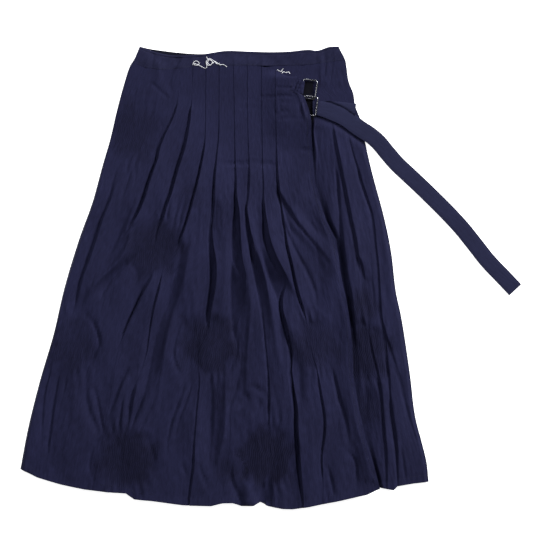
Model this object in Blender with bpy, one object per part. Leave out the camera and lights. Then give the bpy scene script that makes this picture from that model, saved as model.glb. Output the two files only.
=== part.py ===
"""Wrap skirt laid flat, with a pleated over panel, a belt strap and two belt rings.

Run with:  blender --background --python part.py

The skirt lies on its back on the XY plane: waist towards +Y, hem towards -Y, +Z up.
The origin is under the middle of the whole outline. Tables are in millimetres.
"""

import math

import bmesh
import bpy
import numpy as np
from mathutils import Vector

MM = 0.001
GAP = 0.3                # between touching pieces
BACK_CLOTH = 1.2         # wall of the back panel and the back waistband
UNDER_CLOTH = 1.2        # wall of the panel that is worn underneath
OVER_CLOTH = 1.4         # wall of the pleated panel on top
BAND_CLOTH = 2.0         # the front waistband is folded cloth, so it is thicker

UNDER_REST = BACK_CLOTH + GAP                    # underside of what lies on the back
OVER_REST = UNDER_REST + UNDER_CLOTH + GAP       # underside of what lies on both

# ---------------------------------------------------------------- outlines
# Side edges: a row per height, (y, x).
LEFT_SIDE = (
    (392, -223), (371, -232), (360, -239), (337, -247), (282, -262), (235, -273),
    (190, -286), (128, -303), (67, -325), (-15, -350), (-96, -369), (-178, -393),
    (-259, -413), (-325, -425.5), (-400, -440),
)
RIGHT_SIDE = (
    (392, 115), (384, 119), (370, 126), (353, 129), (333, 132), (312, 140), (292, 143),
    (268, 152), (234, 159), (182, 171), (99, 193), (45, 204), (-25, 212.5), (-65, 221),
    (-163, 236), (-238, 245.5), (-279, 256), (-314, 264.5), (-347, 268), (-400, 276),
)
FRONT_EDGE = (
    (345, 44), (328, 42), (317, 39), (308, 56), (285, 64), (268, 68), (242, 68),
    (207, 70), (166, 74), (132, 82.5), (98, 93), (80, 102), (64, 110), (40, 114),
    (15, 117), (-8, 121), (-21, 124), (-38, 128), (-72, 133), (-115, 137.5),
    (-166, 139.5), (-217, 148), (-271, 160), (-310, 172), (-358, 184.5), (-400, 196),
)
HIDDEN_EDGE = ((370, -60), (0, -90), (-400, -140))   # of the under panel, out of sight

# Upper and lower edges: a row per place across, (x, y).
WAIST_TOP = (
    (-223, 392.5), (-206, 388.5), (-189, 386), (-151, 381.5), (-112, 380), (-78, 385),
    (-36, 384), (-2, 383), (32, 384), (65, 387), (78, 385.5), (99.5, 392), (115, 392.5),
)
FRONT_BAND_TOP = (
    (-223, 392.5), (-206, 386.5), (-194, 382.5), (-172, 378), (-151, 377), (-130, 378.5),
    (-112, 380), (-78, 385), (-36, 384), (-2, 383), (32, 384), (65, 387), (78, 385.5),
    (99.5, 392), (115, 392.5),
)
BAND_SEAM = (
    (-240, 365), (-229, 363), (-210, 356), (-189, 353), (-138, 356), (-95, 358),
    (-53, 359.5), (-32, 359.5), (-15, 359.5), (15, 360), (51, 361), (85, 364), (126, 370),
)
PANEL_TOP = (
    (-240, 365), (-229, 363), (-210, 356), (-189, 353), (-138, 356), (-95, 358),
    (-53, 359.5), (-32, 359.5), (-15, 358), (7, 352), (24, 343), (34, 340.5), (44, 341),
)
HEM = (
    (-425.5, -325), (-397, -339), (-357, -351), (-316, -359.5), (-276, -364),
    (-246, -366), (-232, -376), (-200, -379), (-149, -386), (-102, -387.5),
    (-82, -382.5), (-65, -382.5), (-50, -387), (-30, -387), (-18, -381), (-4, -387.5),
    (19, -392), (36, -393), (66, -388.5), (117, -378.5), (163, -368), (184.5, -357.5),
)
UNDER_HEM = ((-140, -357), (185, -357), (208, -361), (215, -354.5), (241, -350), (268, -347))

BACK_SEAM_Y = 352        # seam of the back panel under the band
BACK_INSET = 1.5         # the back panel stays this far inside the front ones
BACK_HEM_RISE = 4        # and its hem this much higher

# ---------------------------------------------------------------- pleats
# The eight knife pleats. Rows are heights y; columns p1 to p8 are where each fold lies.
PLEAT_NAMES = ("p1", "p2", "p3", "p4", "p5", "p6", "p7", "p8")
PLEAT_PLACES = (
    # y,    p1,   p2,   p3,   p4,   p5,   p6,   p7,   p8
    (360, -154, -132, -110, -88, -63.5, -40, -16, 7.5),
    (285, -161, -137, -110.5, -88, -62, -39.5, -15.5, 8),
    (225, -190, -146, -113, -90, -61, -38, -14.5, 9.5),
    (165, -206, -164, -128, -94, -58.5, -36, -12.5, 13.5),
    (115, -221, -179, -141, -90, -54, -39, -9.5, 19),
    (75, -245, -192, -150, -86, -51, -33, -2.5, 22),
    (30, -262, -198, -172, -85, -47.5, -25, 13, 33),
    (-10, -275, -207, -190, -91, -44, -18, 23, 45),
    (-55, -288, -231, -201, -100, -50, -14, 21, 56),
    (-140, -313, -261, -214, -122, -63, -6.5, 38, 73),
    (-240, -338, -280, -243, -127, -68, -2.5, 46, 93),
    (-320, -358, -295, -252, -134, -74, 1, 51, 87),
    (-400, -376, -308, -261, -147, -87, 2, 56, 88),
)
# How high the cloth stands at each fold, in the same rows and columns.
PLEAT_RISES = (
    (360, 1.3, 1.3, 1.3, 1.3, 1.3, 1.3, 1.3, 1.3),
    (285, 1.8, 1.6, 1.3, 1.3, 1.3, 1.3, 1.3, 1.3),
    (225, 3.6, 4.4, 2.0, 1.8, 1.3, 1.3, 1.3, 1.3),
    (165, 4.6, 5.0, 4.0, 3.2, 2.4, 2.4, 1.6, 2.8),
    (115, 4.6, 5.0, 4.2, 5.6, 6.0, 3.4, 3.8, 3.6),
    (75, 1.0, 2.4, 4.0, 6.4, 7.4, 5.0, 5.8, 3.4),
    (30, 0.4, 0.5, 1.0, 7.0, 6.0, 3.0, 6.0, 4.4),
    (-10, 0.4, 1.8, 2.4, 7.0, 1.4, 0.8, 2.0, 4.8),
    (-55, 0.4, 3.4, 3.0, 6.0, 0.5, 0.6, 6.0, 3.2),
    (-140, 0.4, 0.8, 1.6, 1.4, 0.5, 1.2, 6.0, 1.4),
    (-240, 0.4, 0.4, 0.8, 3.4, 0.4, 2.0, 7.0, 4.0),
    (-320, 0.4, 0.4, 0.4, 3.6, 0.4, 0.4, 7.0, 3.2),
    (-400, 0.4, 0.4, 0.3, 2.4, 0.4, 0.3, 4.0, 0.4),
)
SEWN_STEP = 1.4          # width of the step where a pleat is sewn down
OPEN_STEP = 5.0          # and where it is open
SEWN_END, OPEN_START = 255, 120          # y range over which the pleats open
PLEAT_TRAIL = 24.0       # how fast a face falls away behind its fold
SEWN_RISE = 1.3          # a fold no higher than this has no groove in front
GROOVE_RATIO = 1.1       # width of the groove to the rise above that
GROOVE_DEPTH = 0.45      # its depth to the whole rise
OPEN_PUFF = 4.8          # how much the loose cloth stands up as a whole
SIDE_RISE = 12.0         # width over which it rises from the left side
SIDE_DROP = 60.0         # width over which it comes down to the back panel there
SOFT_FOOT = 0.5          # how round the foot of a fold is where it meets the layer below

# ---------------------------------------------------------------- loose creases
# A trough (minus) or ridge (plus) a row: three places on its line, width and height.
CREASE_COLUMNS = ("name", "x0", "y0", "x1", "y1", "x2", "y2", "width", "height")
CREASE_FADE_OUT, CREASE_FADE_IN = 0.12, 0.2      # shares of its length, beyond and inside
OVER_CREASES = (
    ("side_fold", -259, 190, -290, 98, -334, -38, 5, -3.4),
    ("side_ridge", -283, 130, -297, 64, -320, -4, 12, 3.0),
    ("dot_two_ridge", -238, 88, -257, 38, -296, -12, 8, 2.4),
    ("third_hollow", -150, 40, -188, -72, -206, -220, 13, -4.6),
    ("third_crest", -136, 60, -162, -50, -194, -220, 8, 2.6),
    ("left_low", -365, -160, -379, -240, -386, -290, 5, -2.2),
    ("left_mid", -312, -160, -306, -215, -290, -268, 7, -2.6),
    ("fourth_low", -247, -155, -258, -190, -272, -228, 5, -3.0),
    ("pair_low", -147, -176, -162, -225, -175, -296, 6, -3.2),
    ("broad_low", -92, -150, -97, -225, -99, -335, 10, -4.4),
    ("face_low", -60, -190, -62, -235, -72, -320, 11, 2.6),
    ("five_hollow", -60, 26, -60, -40, -54, -120, 8, -4.4),
    ("six_hollow", -28, 46, -16, -20, -4, -130, 6, -3.6),
    ("seven_hollow", -6, 42, 8, -6, 18, -52, 8, -4.0),
    ("six_ridge", -46, 50, -36, -40, -42, -200, 9, 3.4),
    ("seven_ridge", -28, 82, -9, -4, 13, -150, 6, 3.4),
    ("cross_fold", 21, 131, 56, 79, 102, 16, 5, -3.0),
    ("cross_ridge", 28, 128, 48, 93, 98, 33, 12, 3.4),
    ("cross_valley", 34, 88, 66, 0, 60, -84, 7, -2.8),
    ("edge_ridge", 96, 110, 120, 10, 133, -90, 11, 3.0),
    ("right_low", 107, -150, 124, -215, 140, -290, 8, -4.2),
    ("hem_right", 132, -292, 141, -320, 143, -352, 6, -2.2),
    ("hem_curl", -66, -322, -70, -350, -58, -392, 6, -3.6),
    ("hem_notch", 3, -250, -2, -325, -16, -392, 11, -4.4),
)
UNDER_CREASES = (
    ("q_first", 107, 250, 128, 145, 149, 15, 7, -3.6),
    ("r_edge_gap", 116, 110, 124, 10, 140, -100, 9, -3.4),
    ("s_long", 131, 246, 168, 120, 188, -60, 8, -3.8),
    ("t_short", 148, 85, 156, 20, 163, -20, 6, -2.4),
    ("u_low_left", 167, -100, 186, -190, 195, -350, 8, -4.0),
    ("v_low_right", 188, -90, 205, -230, 216, -350, 11, -4.6),
    ("w_side", 229, -225, 240, -262, 247, -300, 6, -2.0),
    ("x_top_left", 85, 365, 83, 345, 84, 318, 6, -1.2),
    ("y_top_mid", 98, 368, 99, 345, 102, 318, 6, -1.2),
    ("z_top_right", 113, 370, 114, 345, 118, 318, 6, -1.2),
)
UNDER_PUFF = 4.6
UPPER_PUFF = 1.4                         # above the belt
BELOW_BELT = (205, 240)                  # y over which the cloth rises below the belt
ABOVE_BELT_Y, ABOVE_BELT_X = (318, 334), (70, 90)        # and above it
WRAP_RISE = (2, 16)                      # it rises over this range beside the wrap edge
WRAP_DOT_RISE = (4, 12)
UNDER_SIDE_FALL = 12.0                   # and falls over this width at the side
UNDER_SETTLE = 0.35                      # taken off, so that the flat part lies flat

# Round shirred dots: a row each, centre and radius, on the panel that it is sewn in.
DOT_COLUMNS = ("x", "y", "radius")
OVER_DOTS = (
    (-235, 251, 46), (-200, 47, 52), (-342, -111, 52), (-104, -116, 53),
    (85, -114, 50), (-246, -308, 53), (-5, -303, 53),
)
UNDER_DOTS = ((152, -128, 54),)
DOT_RIM = (0.85, 1.08)   # a dot fades out between these shares of its radius
DOT_RIDGE = 1.2          # height of the fine ridges in a dot
DOT_FLATTEN = 0.4        # how much the big folds are drawn flat in a dot

# ---------------------------------------------------------------- belt
STRAP_WIDTH = 28.0
STRAP_RING_WIDTH = 24.0  # it is narrower where it is drawn through the ring
STRAP_CLOTH = 1.4
ROOT_Z = OVER_REST + STRAP_CLOTH / 2             # middle of the layer sewn to the side
TAIL_Z = ROOT_Z + STRAP_CLOTH + GAP              # middle of the layer folded back over it
TURN_X, TURN_Y = 68.5, 288.0                     # where the strap turns back
ROOT_ROUTE = ((143, 281), (117, 284), (92, 286.5), (TURN_X, TURN_Y))
TAIL_SECTIONS = 34
TURN_SECTIONS = 6        # half a circle at the ring
WIDENING = (8, 36)       # from the turn, where the strap gets its full width back
# Tail: a row per place, (x, y, z above the floor to the middle of the strap).
TAIL_ROUTE = (
    (TURN_X, TURN_Y, TAIL_Z), (82, 287, TAIL_Z), (100, 282.5, 6.6), (126, 271, 7.2),
    (151, 253, 6.8), (170, 240.5, 5.6), (183, 229, 4.2), (196.5, 213, 2.6),
    (214, 193, 1.3), (230.5, 177.5, 0.75), (268, 142, 0.7), (321, 87.5, 0.7),
    (345, 58, 0.7), (367, 30, 0.7), (393, 2.5, 0.7), (415.3, -21, 0.7),
)

RING_WIRE = 2.4
RING_WIDTH, RING_HEIGHT, RING_CORNER = 26.0, 34.0, 3.6
CORNER_STEPS = 4
TAB_CLOTH = 1.0
TAB_WIDTH = 22.0
TAB_LENGTH = 23.0        # from the ring's bar to the hidden end, under the over panel
TAB_TURN_STEPS = 8
# A ring a row: its middle, its turn in degrees, and the tab's place along its bar.
RING_COLUMNS = ("name", "x", "y", "z", "turn", "tab_along")
UPPER_RING_Z = OVER_REST + TAB_CLOTH + GAP + RING_WIRE / 2
LOWER_RING_Z = UPPER_RING_Z + RING_WIRE + GAP
RINGS = (
    ("upper", 65.2, 319.6, UPPER_RING_Z, -4.0, 1.4),
    ("lower", 65.6, 291.2, LOWER_RING_Z, -5.0, -1.4),
)
# The over panel is lifted where it lies on the ring tabs.
TAB_LIFT = LOWER_RING_Z + RING_WIRE / 2 + GAP + TAB_CLOTH + GAP - OVER_REST
TAB_LIFT_X, TAB_LIFT_LOW, TAB_LIFT_HIGH = (-24, 31), (208, 272), (337, 353)

# ---------------------------------------------------------------- meshing
OVER_COLUMNS = (11, 8, 6, 10, 6, 7, 6, 5, 11)    # inner columns between two folds
UNDER_COLUMNS = (3, 6, 6, 7)
UNDER_GUIDES = (0.015, 0.36, 0.68, 1.0)  # shares from the wrap edge to the right side
OVER_ROWS = 30
UNDER_ROWS = 22
BAND_COLUMNS, BAND_ROWS = 40, 3
BACK_COLUMNS, BACK_ROWS = 14, 14
TOP_CROWDING = 1.35      # above 1, rows lie closer together near the waist
FIRST_TOP, FIRST_LOW, SETTLE_STEPS = 350.0, -360.0, 4    # for finding a column's ends


# ---------------------------------------------------------------- reading tables
def read_smooth(table, at, column=1):
    """Read a column of a table at any place, along a smooth curve through its rows."""
    rows = sorted(table, key=lambda row: row[0])
    places = np.array([row[0] for row in rows], float)
    values = np.array([row[column] for row in rows], float)
    steps = np.diff(places)
    slopes = np.diff(values) / steps
    tangents = np.concatenate(([slopes[0]], (slopes[:-1] + slopes[1:]) / 2, [slopes[-1]]))
    at = np.clip(at, places[0], places[-1])
    cell = np.clip(np.searchsorted(places, at, side="right") - 1, 0, len(steps) - 1)
    t = (at - places[cell]) / steps[cell]
    start, end = values[cell], values[cell + 1]
    lean_in, lean_out = tangents[cell] * steps[cell], tangents[cell + 1] * steps[cell]
    return ((2 * t**3 - 3 * t**2 + 1) * start + (t**3 - 2 * t**2 + t) * lean_in
            + (3 * t**2 - 2 * t**3) * end + (t**3 - t**2) * lean_out)


def read_straight(table, at):
    """Read an edge between its rows along straight lines."""
    rows = sorted(table, key=lambda row: row[0])
    return np.interp(at, [row[0] for row in rows], [row[1] for row in rows])


def ease(value, low, high):
    """Rise smoothly from 0 at low to 1 at high."""
    t = np.clip((value - low) / (high - low), 0, 1)
    return t * t * (3 - 2 * t)


# ---------------------------------------------------------------- relief
def crease_relief(x, y, creases):
    """Sum of the troughs and ridges; each fades out at its two ends."""
    total = np.zeros_like(x)
    for row in creases:
        crease = dict(zip(CREASE_COLUMNS, row))
        line = tuple((crease[f"y{i}"], crease[f"x{i}"]) for i in range(3))
        off = (x - read_smooth(line, y)) / crease["width"]
        along = (crease["y0"] - y) / (crease["y0"] - crease["y2"])
        fade = ease(along, -CREASE_FADE_OUT, CREASE_FADE_IN)
        fade *= 1 - ease(along, 1 - CREASE_FADE_IN, 1 + CREASE_FADE_OUT)
        total += crease["height"] * fade * np.exp(-off**2)
    return total


def dot_cover(x, y, dots):
    """1 inside a shirred dot, 0 outside, with a soft rim."""
    cover = np.zeros_like(x)
    for row in dots:
        dot = dict(zip(DOT_COLUMNS, row))
        reach = np.hypot(x - dot["x"], y - dot["y"]) / dot["radius"]
        cover = np.maximum(cover, 1 - ease(reach, *DOT_RIM))
    return cover


def soft_floor(height):
    """Keep a height above zero, with a rounded foot."""
    return (height + np.sqrt(height**2 + SOFT_FOOT)) / 2


def pleat_relief(x, y):
    """Knife pleats: a face behind each fold and a groove in front of it."""
    opened = 1 - ease(y, OPEN_START, SEWN_END)
    step = SEWN_STEP + (OPEN_STEP - SEWN_STEP) * opened
    total = np.zeros_like(x)
    for number in range(1, len(PLEAT_NAMES) + 1):
        behind = x - read_smooth(PLEAT_PLACES, y, number)
        rise = read_smooth(PLEAT_RISES, y, number)
        face = ease(behind, -step / 2, step / 2)
        total += rise * face * np.exp(-np.maximum(behind, 0) / PLEAT_TRAIL)
        width = GROOVE_RATIO * np.maximum(rise - SEWN_RISE, 0)
        groove = np.exp(-((behind + step / 2 + width) / (width + 1.0))**2)
        total -= GROOVE_DEPTH * rise * groove * opened
    return total


def over_relief(x, y):
    """Height of the over panel above its resting place."""
    opened = 1 - ease(y, OPEN_START, SEWN_END)
    big = OPEN_PUFF * opened + pleat_relief(x, y) + crease_relief(x, y, OVER_CREASES)
    relief = soft_floor(big * (1 - DOT_FLATTEN * dot_cover(x, y, OVER_DOTS)))
    return relief * ease(x - read_smooth(LEFT_SIDE, y), 0, SIDE_RISE)


def over_rest(x, y):
    """Underside of the over panel where it lies flat."""
    from_side = x - read_smooth(LEFT_SIDE, y)
    rest = UNDER_REST + (OVER_REST - UNDER_REST) * ease(from_side, 0, SIDE_DROP)
    on_tabs = ease(x, *TAB_LIFT_X) * ease(y, *TAB_LIFT_LOW) * (1 - ease(y, *TAB_LIFT_HIGH))
    return rest + TAB_LIFT * on_tabs


def under_relief(x, y):
    """Height of the under panel above its resting place, only where it shows."""
    shown = ease(x - read_smooth(FRONT_EDGE, y), *WRAP_RISE)
    side = ease(read_smooth(RIGHT_SIDE, y) - x, 0, UNDER_SIDE_FALL)
    below_belt = 1 - ease(y, *BELOW_BELT)
    above_belt = ease(y, *ABOVE_BELT_Y) * ease(x, *ABOVE_BELT_X)
    puff = UNDER_PUFF * below_belt + UPPER_PUFF * above_belt
    creases = crease_relief(x, y, UNDER_CREASES) * np.maximum(below_belt, above_belt)
    flatten = 1 - DOT_FLATTEN * dot_cover(x, y, UNDER_DOTS)
    relief = soft_floor((puff + creases) * flatten) - UNDER_SETTLE
    return np.maximum(relief, 0) * shown * side


# ---------------------------------------------------------------- cloth walls
def column_places(inner, pleated):
    """Each column's cell, whether a fold opens or closes that cell, and its share of it."""
    columns = []
    for cell, count in enumerate(inner):
        is_last = cell + 1 == len(inner)
        opens, closes = pleated and cell > 0, pleated and not is_last
        shares = count + 1 if closes or is_last else count
        columns += [(cell, opens, closes, k / count) for k in range(shares)]
    return columns


def fold_step(y):
    """Half of the width of a pleat's step at a height."""
    opened = 1 - ease(y, OPEN_START, SEWN_END)
    return (SEWN_STEP + (OPEN_STEP - SEWN_STEP) * opened) / 2


def column_x(column, guides, y):
    """x of a column at the heights y."""
    cell, opens, closes, share = column
    left = guides[cell](y) + opens * fold_step(y)
    right = guides[cell + 1](y) - closes * fold_step(y)
    return left + (right - left) * share


def cloth_grid(guides, inner, rows, top_edge, low_edge, pleated=False, crowding=1.0):
    """Rows of points from an upper edge to a lower one, along columns that fan out.

    The columns lean, so each end is found by settling on its edge from a first guess.
    """
    columns = column_places(inner, pleated)
    shares = np.linspace(0, 1, rows + 1)**crowding
    xs = np.zeros((rows + 1, len(columns)))
    ys = np.zeros_like(xs)
    for c, column in enumerate(columns):
        top, low = np.array(FIRST_TOP), np.array(FIRST_LOW)
        for _ in range(SETTLE_STEPS):
            top = top_edge(column_x(column, guides, top))
            low = low_edge(column_x(column, guides, low))
        ys[:, c] = top + (low - top) * shares
        xs[:, c] = column_x(column, guides, ys[:, c])
    return xs, ys


def cloth_wall(name, grid, underside, outside, material):
    """A closed wall between two heights over one grid of points."""
    xs, ys = grid
    rows, columns = xs.shape
    mesh = bmesh.new()
    layers = []
    for heights in (outside, underside):
        layers.append([
            [mesh.verts.new(Vector((xs[r, c], ys[r, c], heights[r, c])) * MM)
             for c in range(columns)] for r in range(rows)
        ])
    upper, lower = layers
    for r in range(rows - 1):
        for c in range(columns - 1):
            for layer, flip in ((upper, False), (lower, True)):
                a, b = layer[r][c], layer[r + 1][c]
                d, e = layer[r + 1][c + 1], layer[r][c + 1]
                for face in ((a, b, d), (a, d, e)):
                    mesh.faces.new(face[::-1] if flip else face)
    ring = ([(0, c) for c in range(columns)]
            + [(r, columns - 1) for r in range(1, rows)]
            + [(rows - 1, c) for c in range(columns - 2, -1, -1)]
            + [(r, 0) for r in range(rows - 2, 0, -1)])
    for (r0, c0), (r1, c1) in zip(ring, ring[1:] + ring[:1]):
        mesh.faces.new((upper[r0][c0], upper[r1][c1], lower[r1][c1], lower[r0][c0]))
    bmesh.ops.recalc_face_normals(mesh, faces=mesh.faces)
    return finish_mesh(name, mesh, material)


# ---------------------------------------------------------------- objects
def clear_scene():
    for thing in list(bpy.data.objects):
        bpy.data.objects.remove(thing, do_unlink=True)


def new_collection(name):
    collection = bpy.data.collections.new(name)
    bpy.context.scene.collection.children.link(collection)
    return collection


def new_material(name, colour, roughness, metallic=0.0):
    material = bpy.data.materials.new(name)
    material.use_nodes = True
    shader = material.node_tree.nodes["Principled BSDF"]
    shader.inputs["Base Color"].default_value = (*colour, 1.0)
    shader.inputs["Roughness"].default_value = roughness
    shader.inputs["Metallic"].default_value = metallic
    material.diffuse_color = (*colour, 1.0)
    return material


def finish_mesh(name, mesh, material):
    data = bpy.data.meshes.new(name)
    mesh.to_mesh(data)
    mesh.free()
    thing = bpy.data.objects.new(name, data)
    data.materials.append(material)
    skirt.objects.link(thing)
    return thing


def over_panel(material):
    guides = ([lambda y: read_smooth(LEFT_SIDE, y)]
              + [lambda y, n=n: read_smooth(PLEAT_PLACES, y, n)
                 for n in range(1, len(PLEAT_NAMES) + 1)]
              + [lambda y: read_straight(FRONT_EDGE, y)])
    grid = cloth_grid(guides, OVER_COLUMNS, OVER_ROWS,
                      lambda x: read_smooth(PANEL_TOP, x) - GAP,
                      lambda x: read_straight(HEM, x), True, TOP_CROWDING)
    xs, ys = grid
    underside = over_rest(xs, ys) + over_relief(xs, ys)
    ridges = np.where(np.arange(xs.shape[1]) % 2 == 0, DOT_RIDGE, 0.0)
    outside = underside + OVER_CLOTH + ridges * dot_cover(xs, ys, OVER_DOTS)
    return cloth_wall("front_over_panel", grid, underside, outside, material)


def under_panel(material):
    guides = (
        lambda y: read_straight(HIDDEN_EDGE, y),
        *(lambda y, share=share: read_smooth(FRONT_EDGE, y) + share * (
            read_smooth(RIGHT_SIDE, y) - read_smooth(FRONT_EDGE, y))
          for share in UNDER_GUIDES),
    )
    grid = cloth_grid(guides, UNDER_COLUMNS, UNDER_ROWS,
                      lambda x: read_smooth(BAND_SEAM, x) - GAP,
                      lambda x: read_straight(UNDER_HEM, x))
    xs, ys = grid
    underside = UNDER_REST + under_relief(xs, ys)
    ridges = np.where(np.arange(xs.shape[1]) % 2 == 0, DOT_RIDGE, 0.0)
    shown = ease(xs - read_smooth(FRONT_EDGE, ys), *WRAP_DOT_RISE)
    outside = underside + UNDER_CLOTH + ridges * shown * dot_cover(xs, ys, UNDER_DOTS)
    return cloth_wall("front_under_panel", grid, underside, outside, material)


def back_panel(material):
    guides = (lambda y: read_smooth(LEFT_SIDE, y) + BACK_INSET,
              lambda y: read_smooth(RIGHT_SIDE, y) - BACK_INSET)
    whole_hem = HEM + UNDER_HEM[2:]
    grid = cloth_grid(guides, (BACK_COLUMNS,), BACK_ROWS,
                      lambda x: np.full_like(x, BACK_SEAM_Y),
                      lambda x: read_straight(whole_hem, x) + BACK_HEM_RISE)
    flat = np.zeros_like(grid[0])
    return cloth_wall("back_panel", grid, flat, flat + BACK_CLOTH, material)


def waistband(name, top_edge, low_edge, rest, cloth, inset, material):
    guides = (lambda y: read_smooth(LEFT_SIDE, y) + inset,
              lambda y: read_smooth(RIGHT_SIDE, y) - inset)
    grid = cloth_grid(guides, (BAND_COLUMNS,), BAND_ROWS, top_edge, low_edge)
    underside = np.full_like(grid[0], rest)
    return cloth_wall(name, grid, underside, underside + cloth, material)


# ---------------------------------------------------------------- belt pieces
def strap_stations():
    """Middle line of the strap: root, turn and tail, with the width at each place."""
    root = [Vector((x, y, ROOT_Z)) for x, y in ROOT_ROUTE]
    turn_radius = (TAIL_Z - ROOT_Z) / 2
    turn = []
    for k in range(1, TURN_SECTIONS):
        angle = math.pi * k / TURN_SECTIONS
        turn.append(Vector((TURN_X - turn_radius * math.sin(angle), TURN_Y,
                            ROOT_Z + turn_radius * (1 - math.cos(angle)))))
    xs = [row[0] for row in TAIL_ROUTE]
    tail_x = np.linspace(xs[0], xs[-1], TAIL_SECTIONS)
    line_y = [(row[0], row[1]) for row in TAIL_ROUTE]
    line_z = [(row[0], row[2]) for row in TAIL_ROUTE]
    tail = [Vector((x, read_smooth(line_y, x), read_smooth(line_z, x))) for x in tail_x]
    points = root + turn + tail
    widths = [STRAP_RING_WIDTH + (STRAP_WIDTH - STRAP_RING_WIDTH)
              * float(ease(point.x - TURN_X, *WIDENING)) for point in points]
    return points, widths, len(root), len(root) + len(turn)


def belt_strap(material):
    points, widths, turn_start, turn_end = strap_stations()
    mesh = bmesh.new()
    sections = []
    for i, point in enumerate(points):
        before, after = points[max(i - 1, 0)], points[min(i + 1, len(points) - 1)]
        along = (after - before).normalized()
        if turn_start - 1 <= i <= turn_end:
            across = Vector((0, 1, 0))
        else:
            travel = 1 if i > turn_end else -1
            across = Vector((-along.y, along.x, 0)).normalized() * travel
        through = across.cross(along).normalized()
        half = across * widths[i] / 2
        thick = through * STRAP_CLOTH / 2
        corners = (point + half + thick, point + half - thick,
                   point - half - thick, point - half + thick)
        sections.append([mesh.verts.new(corner * MM) for corner in corners])
    for one, two in zip(sections, sections[1:]):
        for k in range(4):
            mesh.faces.new((one[k], one[(k + 1) % 4], two[(k + 1) % 4], two[k]))
    mesh.faces.new(sections[0])
    mesh.faces.new(sections[-1][::-1])
    bmesh.ops.recalc_face_normals(mesh, faces=mesh.faces)
    bmesh.ops.triangulate(mesh, faces=mesh.faces)
    return finish_mesh("belt_strap", mesh, material)


def place_at_ring(thing, ring):
    thing.location = Vector((ring["x"], ring["y"], ring["z"])) * MM
    thing.rotation_euler.z = math.radians(ring["turn"])
    return thing


def belt_ring(ring, material):
    """A rectangular ring of round wire with rounded corners."""
    half_x = (RING_WIDTH - RING_WIRE) / 2 - RING_CORNER
    half_y = (RING_HEIGHT - RING_WIRE) / 2 - RING_CORNER
    centres = ((half_x, half_y), (-half_x, half_y), (-half_x, -half_y), (half_x, -half_y))
    outline = []
    for quarter, (cx, cy) in enumerate(centres):
        for k in range(CORNER_STEPS + 1):
            angle = (quarter + k / CORNER_STEPS) * math.pi / 2
            outline.append((cx + RING_CORNER * math.cos(angle),
                            cy + RING_CORNER * math.sin(angle)))
    curve = bpy.data.curves.new(f"ring_{ring['name']}", "CURVE")
    curve.dimensions = "3D"
    curve.bevel_depth = RING_WIRE / 2 * MM
    curve.bevel_resolution = 2
    spline = curve.splines.new("POLY")
    spline.points.add(len(outline) - 1)
    for point, (px, py) in zip(spline.points, outline):
        point.co = (px * MM, py * MM, 0, 1)
    spline.use_cyclic_u = True
    curve.materials.append(material)
    thing = bpy.data.objects.new(f"belt_ring_{ring['name']}", curve)
    skirt.objects.link(thing)
    return place_at_ring(thing, ring)


def ring_tab(ring, material):
    """A strip folded round the inner bar of a ring, open towards the over panel."""
    bar_x = -(RING_WIDTH - RING_WIRE) / 2
    inner = RING_WIRE / 2 + GAP
    outer = inner + TAB_CLOTH
    outside = [(bar_x - TAB_LENGTH, -outer)]
    inside = [(bar_x - TAB_LENGTH, -inner)]
    for k in range(TAB_TURN_STEPS + 1):
        angle = math.pi * (k / TAB_TURN_STEPS - 0.5)
        outside.append((bar_x + outer * math.cos(angle), outer * math.sin(angle)))
        inside.append((bar_x + inner * math.cos(angle), inner * math.sin(angle)))
    outside.append((bar_x - TAB_LENGTH, outer))
    inside.append((bar_x - TAB_LENGTH, inner))
    outline = outside + inside[::-1]
    mesh = bmesh.new()
    near, far = ([mesh.verts.new(Vector((px, ring["tab_along"] + side * TAB_WIDTH / 2, pz))
                                 * MM) for px, pz in outline] for side in (-1, 1))
    count, half = len(outline), len(outside)
    for k in range(count):
        following = (k + 1) % count
        mesh.faces.new((near[k], near[following], far[following], far[k]))
    for k in range(half - 1):
        pairs = (k, k + 1, count - 2 - k, count - 1 - k)
        mesh.faces.new([near[p] for p in pairs][::-1])
        mesh.faces.new([far[p] for p in pairs])
    bmesh.ops.recalc_face_normals(mesh, faces=mesh.faces)
    return place_at_ring(finish_mesh(f"ring_tab_{ring['name']}", mesh, material), ring)


clear_scene()
skirt = new_collection("wrap_skirt")
navy_cloth = new_material("navy_cotton_cloth", (0.0138, 0.0142, 0.037), 0.85)
dark_cloth = new_material("navy_cotton_inside", (0.009, 0.0095, 0.026), 0.9)
strap_cloth = new_material("navy_belt_cloth", (0.0159, 0.0165, 0.042), 0.8)
bright_steel = new_material("plated_steel_wire", (0.62, 0.63, 0.65), 0.22, 1.0)

back_panel(dark_cloth)
waistband("back_waistband", lambda x: read_smooth(WAIST_TOP, x),
          lambda x: np.full_like(x, BACK_SEAM_Y + GAP), 0.0, BACK_CLOTH, 0.4, dark_cloth)
waistband("front_waistband", lambda x: read_smooth(FRONT_BAND_TOP, x),
          lambda x: read_smooth(BAND_SEAM, x), UNDER_REST, BAND_CLOTH, 0.0, navy_cloth)
under_panel(navy_cloth)
over_panel(navy_cloth)
for row in RINGS:
    values = dict(zip(RING_COLUMNS, row))
    belt_ring(values, bright_steel)
    ring_tab(values, navy_cloth)
belt_strap(strap_cloth)
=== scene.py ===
import math
import random

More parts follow.
